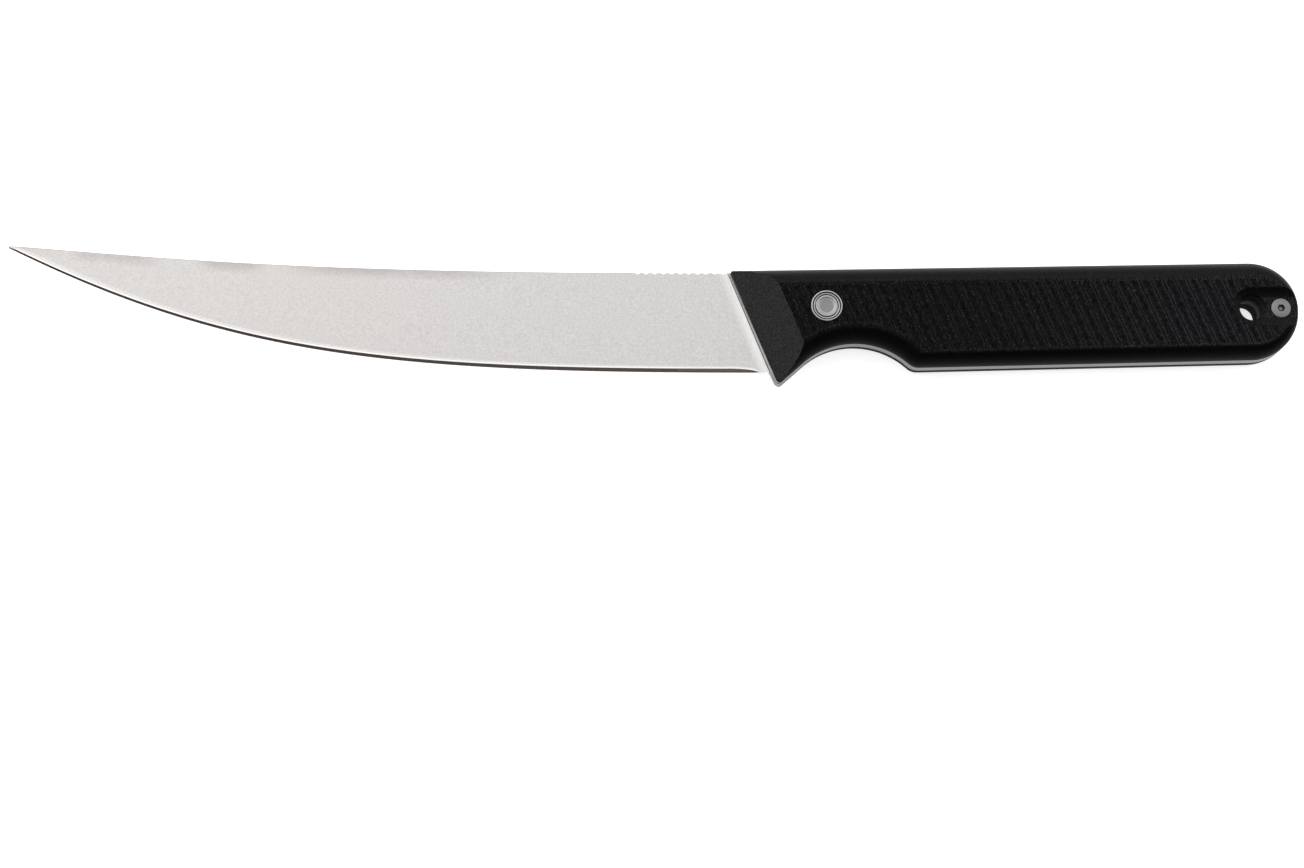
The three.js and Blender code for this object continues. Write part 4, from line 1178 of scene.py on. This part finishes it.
# The socket's walls and floor take painted shade; the drill mark keeps the screw's steel.
rear_socket = hex_socket(1.5, SOCKET_FLOOR, REAR_TOP + 1, REAR_SCREW, SHADE_WALL_STEEL)
drill_profile = [(0, DRILL_POINT), (0.34, DRILL_FLOOR), (0, DRILL_FLOOR)]
drill_mark = bench_piece("drill_mark", *turned(drill_profile, 40, REAR_SCREW), SCREW_STEEL)
machined(rear_screw_left, "DIFFERENCE", rear_socket, drill_mark)
sleeve_profile = [
    (SLEEVE_BORE, -REAR_SEAT), (SLEEVE_RADIUS, -REAR_SEAT),
    (SLEEVE_RADIUS, REAR_SEAT), (SLEEVE_BORE, REAR_SEAT),
]
rear_standoff = bench_piece("rear_standoff_sleeve", *turned(sleeve_profile, 72, REAR_SCREW))
front_collar_right = other_side(front_collar_left, "front_collar_right_ring")
rear_screw_right = other_side(rear_screw_left, "rear_screw_right_flat")
mirrored(front_bolt)
print("rear fastener:", len(rear_screw_left.data.polygons), len(rear_standoff.data.polygons), "faces")

# %% [markdown]
# Every piece now leaves the bench. Its mesh is scaled to metres and moved into the frame, edges
# that turn by more than a set angle stay sharp and the rest shade smoothly. Then the piece takes
# the place of its CAD node and rides on the one body that this knife has, and a finish, where one is
# given, replaces its materials.

# %% Into the frame
to_frame = Matrix.Translation(bench_zero) @ Matrix.Diagonal((MM, MM, MM, 1))


def set_in_frame(piece, node, sharp, finish=None):
    mesh = piece.data
    if finish:
        mesh.materials.clear()
        mesh.materials.append(finish)
    mesh.transform(to_frame)
    mesh.polygons.foreach_set("use_smooth", [True] * len(mesh.polygons))
    mesh.set_sharp_from_angle(angle=math.radians(sharp))
    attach(piece, "root")
    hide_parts(node)
    print(f"{piece.name}: {len(mesh.polygons)} faces stand for {node}")


set_in_frame(blade, "blade", 11)
set_in_frame(left_scale, "left_scale", 24)
set_in_frame(right_scale, "right_scale", 24)
set_in_frame(front_collar_left, "front_collar_left", 40)
set_in_frame(front_collar_right, "front_collar_right", 40)
set_in_frame(front_barrel_nut, "front_barrel_nut", 40)
set_in_frame(front_bolt, "front_bolt", 40, HEAD_STEEL)
set_in_frame(rear_standoff, "rear_standoff", 40, SCREW_STEEL)
set_in_frame(rear_screw_left, "rear_screw_left", 40)
set_in_frame(rear_screw_right, "rear_screw_right", 40)

# %% [markdown]
# The knife lies on a pale light table. A floor that glows a little keeps the background white and
# throws light up on the underside of the handle, as such a table does. The glow belongs to the
# floor's material, so no lamp has to be hidden below.

# %% Floor
FLOOR_REACH = 2
floor_corners = [(x * FLOOR_REACH, y * FLOOR_REACH, 0) for x, y in ((-1, -1), (1, -1), (1, 1), (-1, 1))]
floor_mesh = bpy.data.meshes.new("floor")
floor_mesh.from_pydata(floor_corners, [], [(0, 1, 2, 3)])
floor = add_to_scene("floor", floor_mesh)
floor_finish, tree, shader = finish_tree("pale_floor")
paper = grain(tree, object_place(tree), 900.0, 2.0)
tree.links.new(tint(tree, paper, grey(0.90), grey(0.92)), shader.inputs["Base Color"])
shader.inputs["Roughness"].default_value = 0.8
shader.inputs["Specular IOR Level"].default_value = 0.1
shader.inputs["Emission Color"].default_value = (1, 1, 1, 1)
shader.inputs["Emission Strength"].default_value = 0.75
floor.data.materials.append(floor_finish)
print("floor of", 2 * FLOOR_REACH, "m")

# %% [markdown]
# Steel shows what is around it, so the white studio dome is what makes the blade: bright above, dim
# on the side of the edge, where the viewer stands, and falling off again low behind the spine,
# so that the flat never burns out. It is brighter beyond the tip, which lights the hollow in front
# of the handle. One large soft box from the spine's side gives the handle its rim of light.

# %% Dome and soft box
world = bpy.data.worlds.new("studio_dome")
bpy.context.scene.world = world
world.use_nodes = True
sky = world.node_tree
axes = split(sky, make(sky, "ShaderNodeTexCoord").outputs["Generated"])
spine_side = spread(sky, axes["Y"], -0.45, 0.12, 0.22, 1.19, "SMOOTHSTEP")
tip_side = spread(sky, axes["X"], 0.05, -0.6, 1.0, 1.24, "SMOOTHSTEP")
low_behind = spread(sky, axes["Y"], 0.35, 0.85, 1.0, 0.68, "SMOOTHSTEP")
glow = times(sky, times(sky, spine_side, tip_side), low_behind)
sky.nodes["Background"].inputs["Color"].default_value = (1, 1, 1, 1)
sky.links.new(glow, sky.nodes["Background"].inputs["Strength"])

box_light = bpy.data.lights.new("soft_box", "AREA")
box_light.shape = "RECTANGLE"
box_light.size, box_light.size_y = 1.2, 0.7
box_light.energy = 1.2
soft_box = add_to_scene("soft_box", box_light)
soft_box.location = (-0.35, 0.75, 0.85)
soft_box.rotation_euler = (-soft_box.location).to_track_quat("-Z", "Y").to_euler()
bpy.context.scene.view_settings.view_transform = "Standard"
print("dome and soft box of", round(box_light.energy, 2), "W are set")

# %% [markdown]
# The camera looks down at the left side, tilted so that it sees a little of the edge and of the
# underside of the handle. Its place was worked out from the outline of the knife in the picture:
# the point it aims at, its three angles, and how many pixels a millimetre takes up there.

# %% Camera at the photograph's angle
PICTURE_WIDTH, FOCAL_PIXELS, PIXELS_PER_MM = 1304, 2400.0, 4.6465
YAW, PITCH, ROLL = (math.radians(a) for a in (1.5, 12.8, -0.073))
aim = bench_zero + Vector((-17.2, -35.73, 0)) * MM
back = Vector((-math.tan(YAW), -math.tan(PITCH), 1)).normalized()
level = (Vector((1, 0, 0)) - back * back.x).normalized()
upright = back.cross(level)
right = level * math.cos(ROLL) + upright * math.sin(ROLL)
up = upright * math.cos(ROLL) - level * math.sin(ROLL)
lens = bpy.data.cameras.new("camera")
lens.sensor_width = 36.0
lens.lens = FOCAL_PIXELS / PICTURE_WIDTH * lens.sensor_width
lens.clip_start, lens.clip_end = 0.01, 20.0
camera = add_to_scene("camera", lens)
spot = aim + back * (FOCAL_PIXELS / PIXELS_PER_MM * MM)
camera.matrix_world = Matrix((
    (right.x, up.x, back.x, spot.x), (right.y, up.y, back.y, spot.y),
    (right.z, up.z, back.z, spot.z), (0, 0, 0, 1),
))
bpy.context.scene.camera = camera
print("camera", [round(x, 4) for x in spot], "lens", round(lens.lens, 2), "mm")
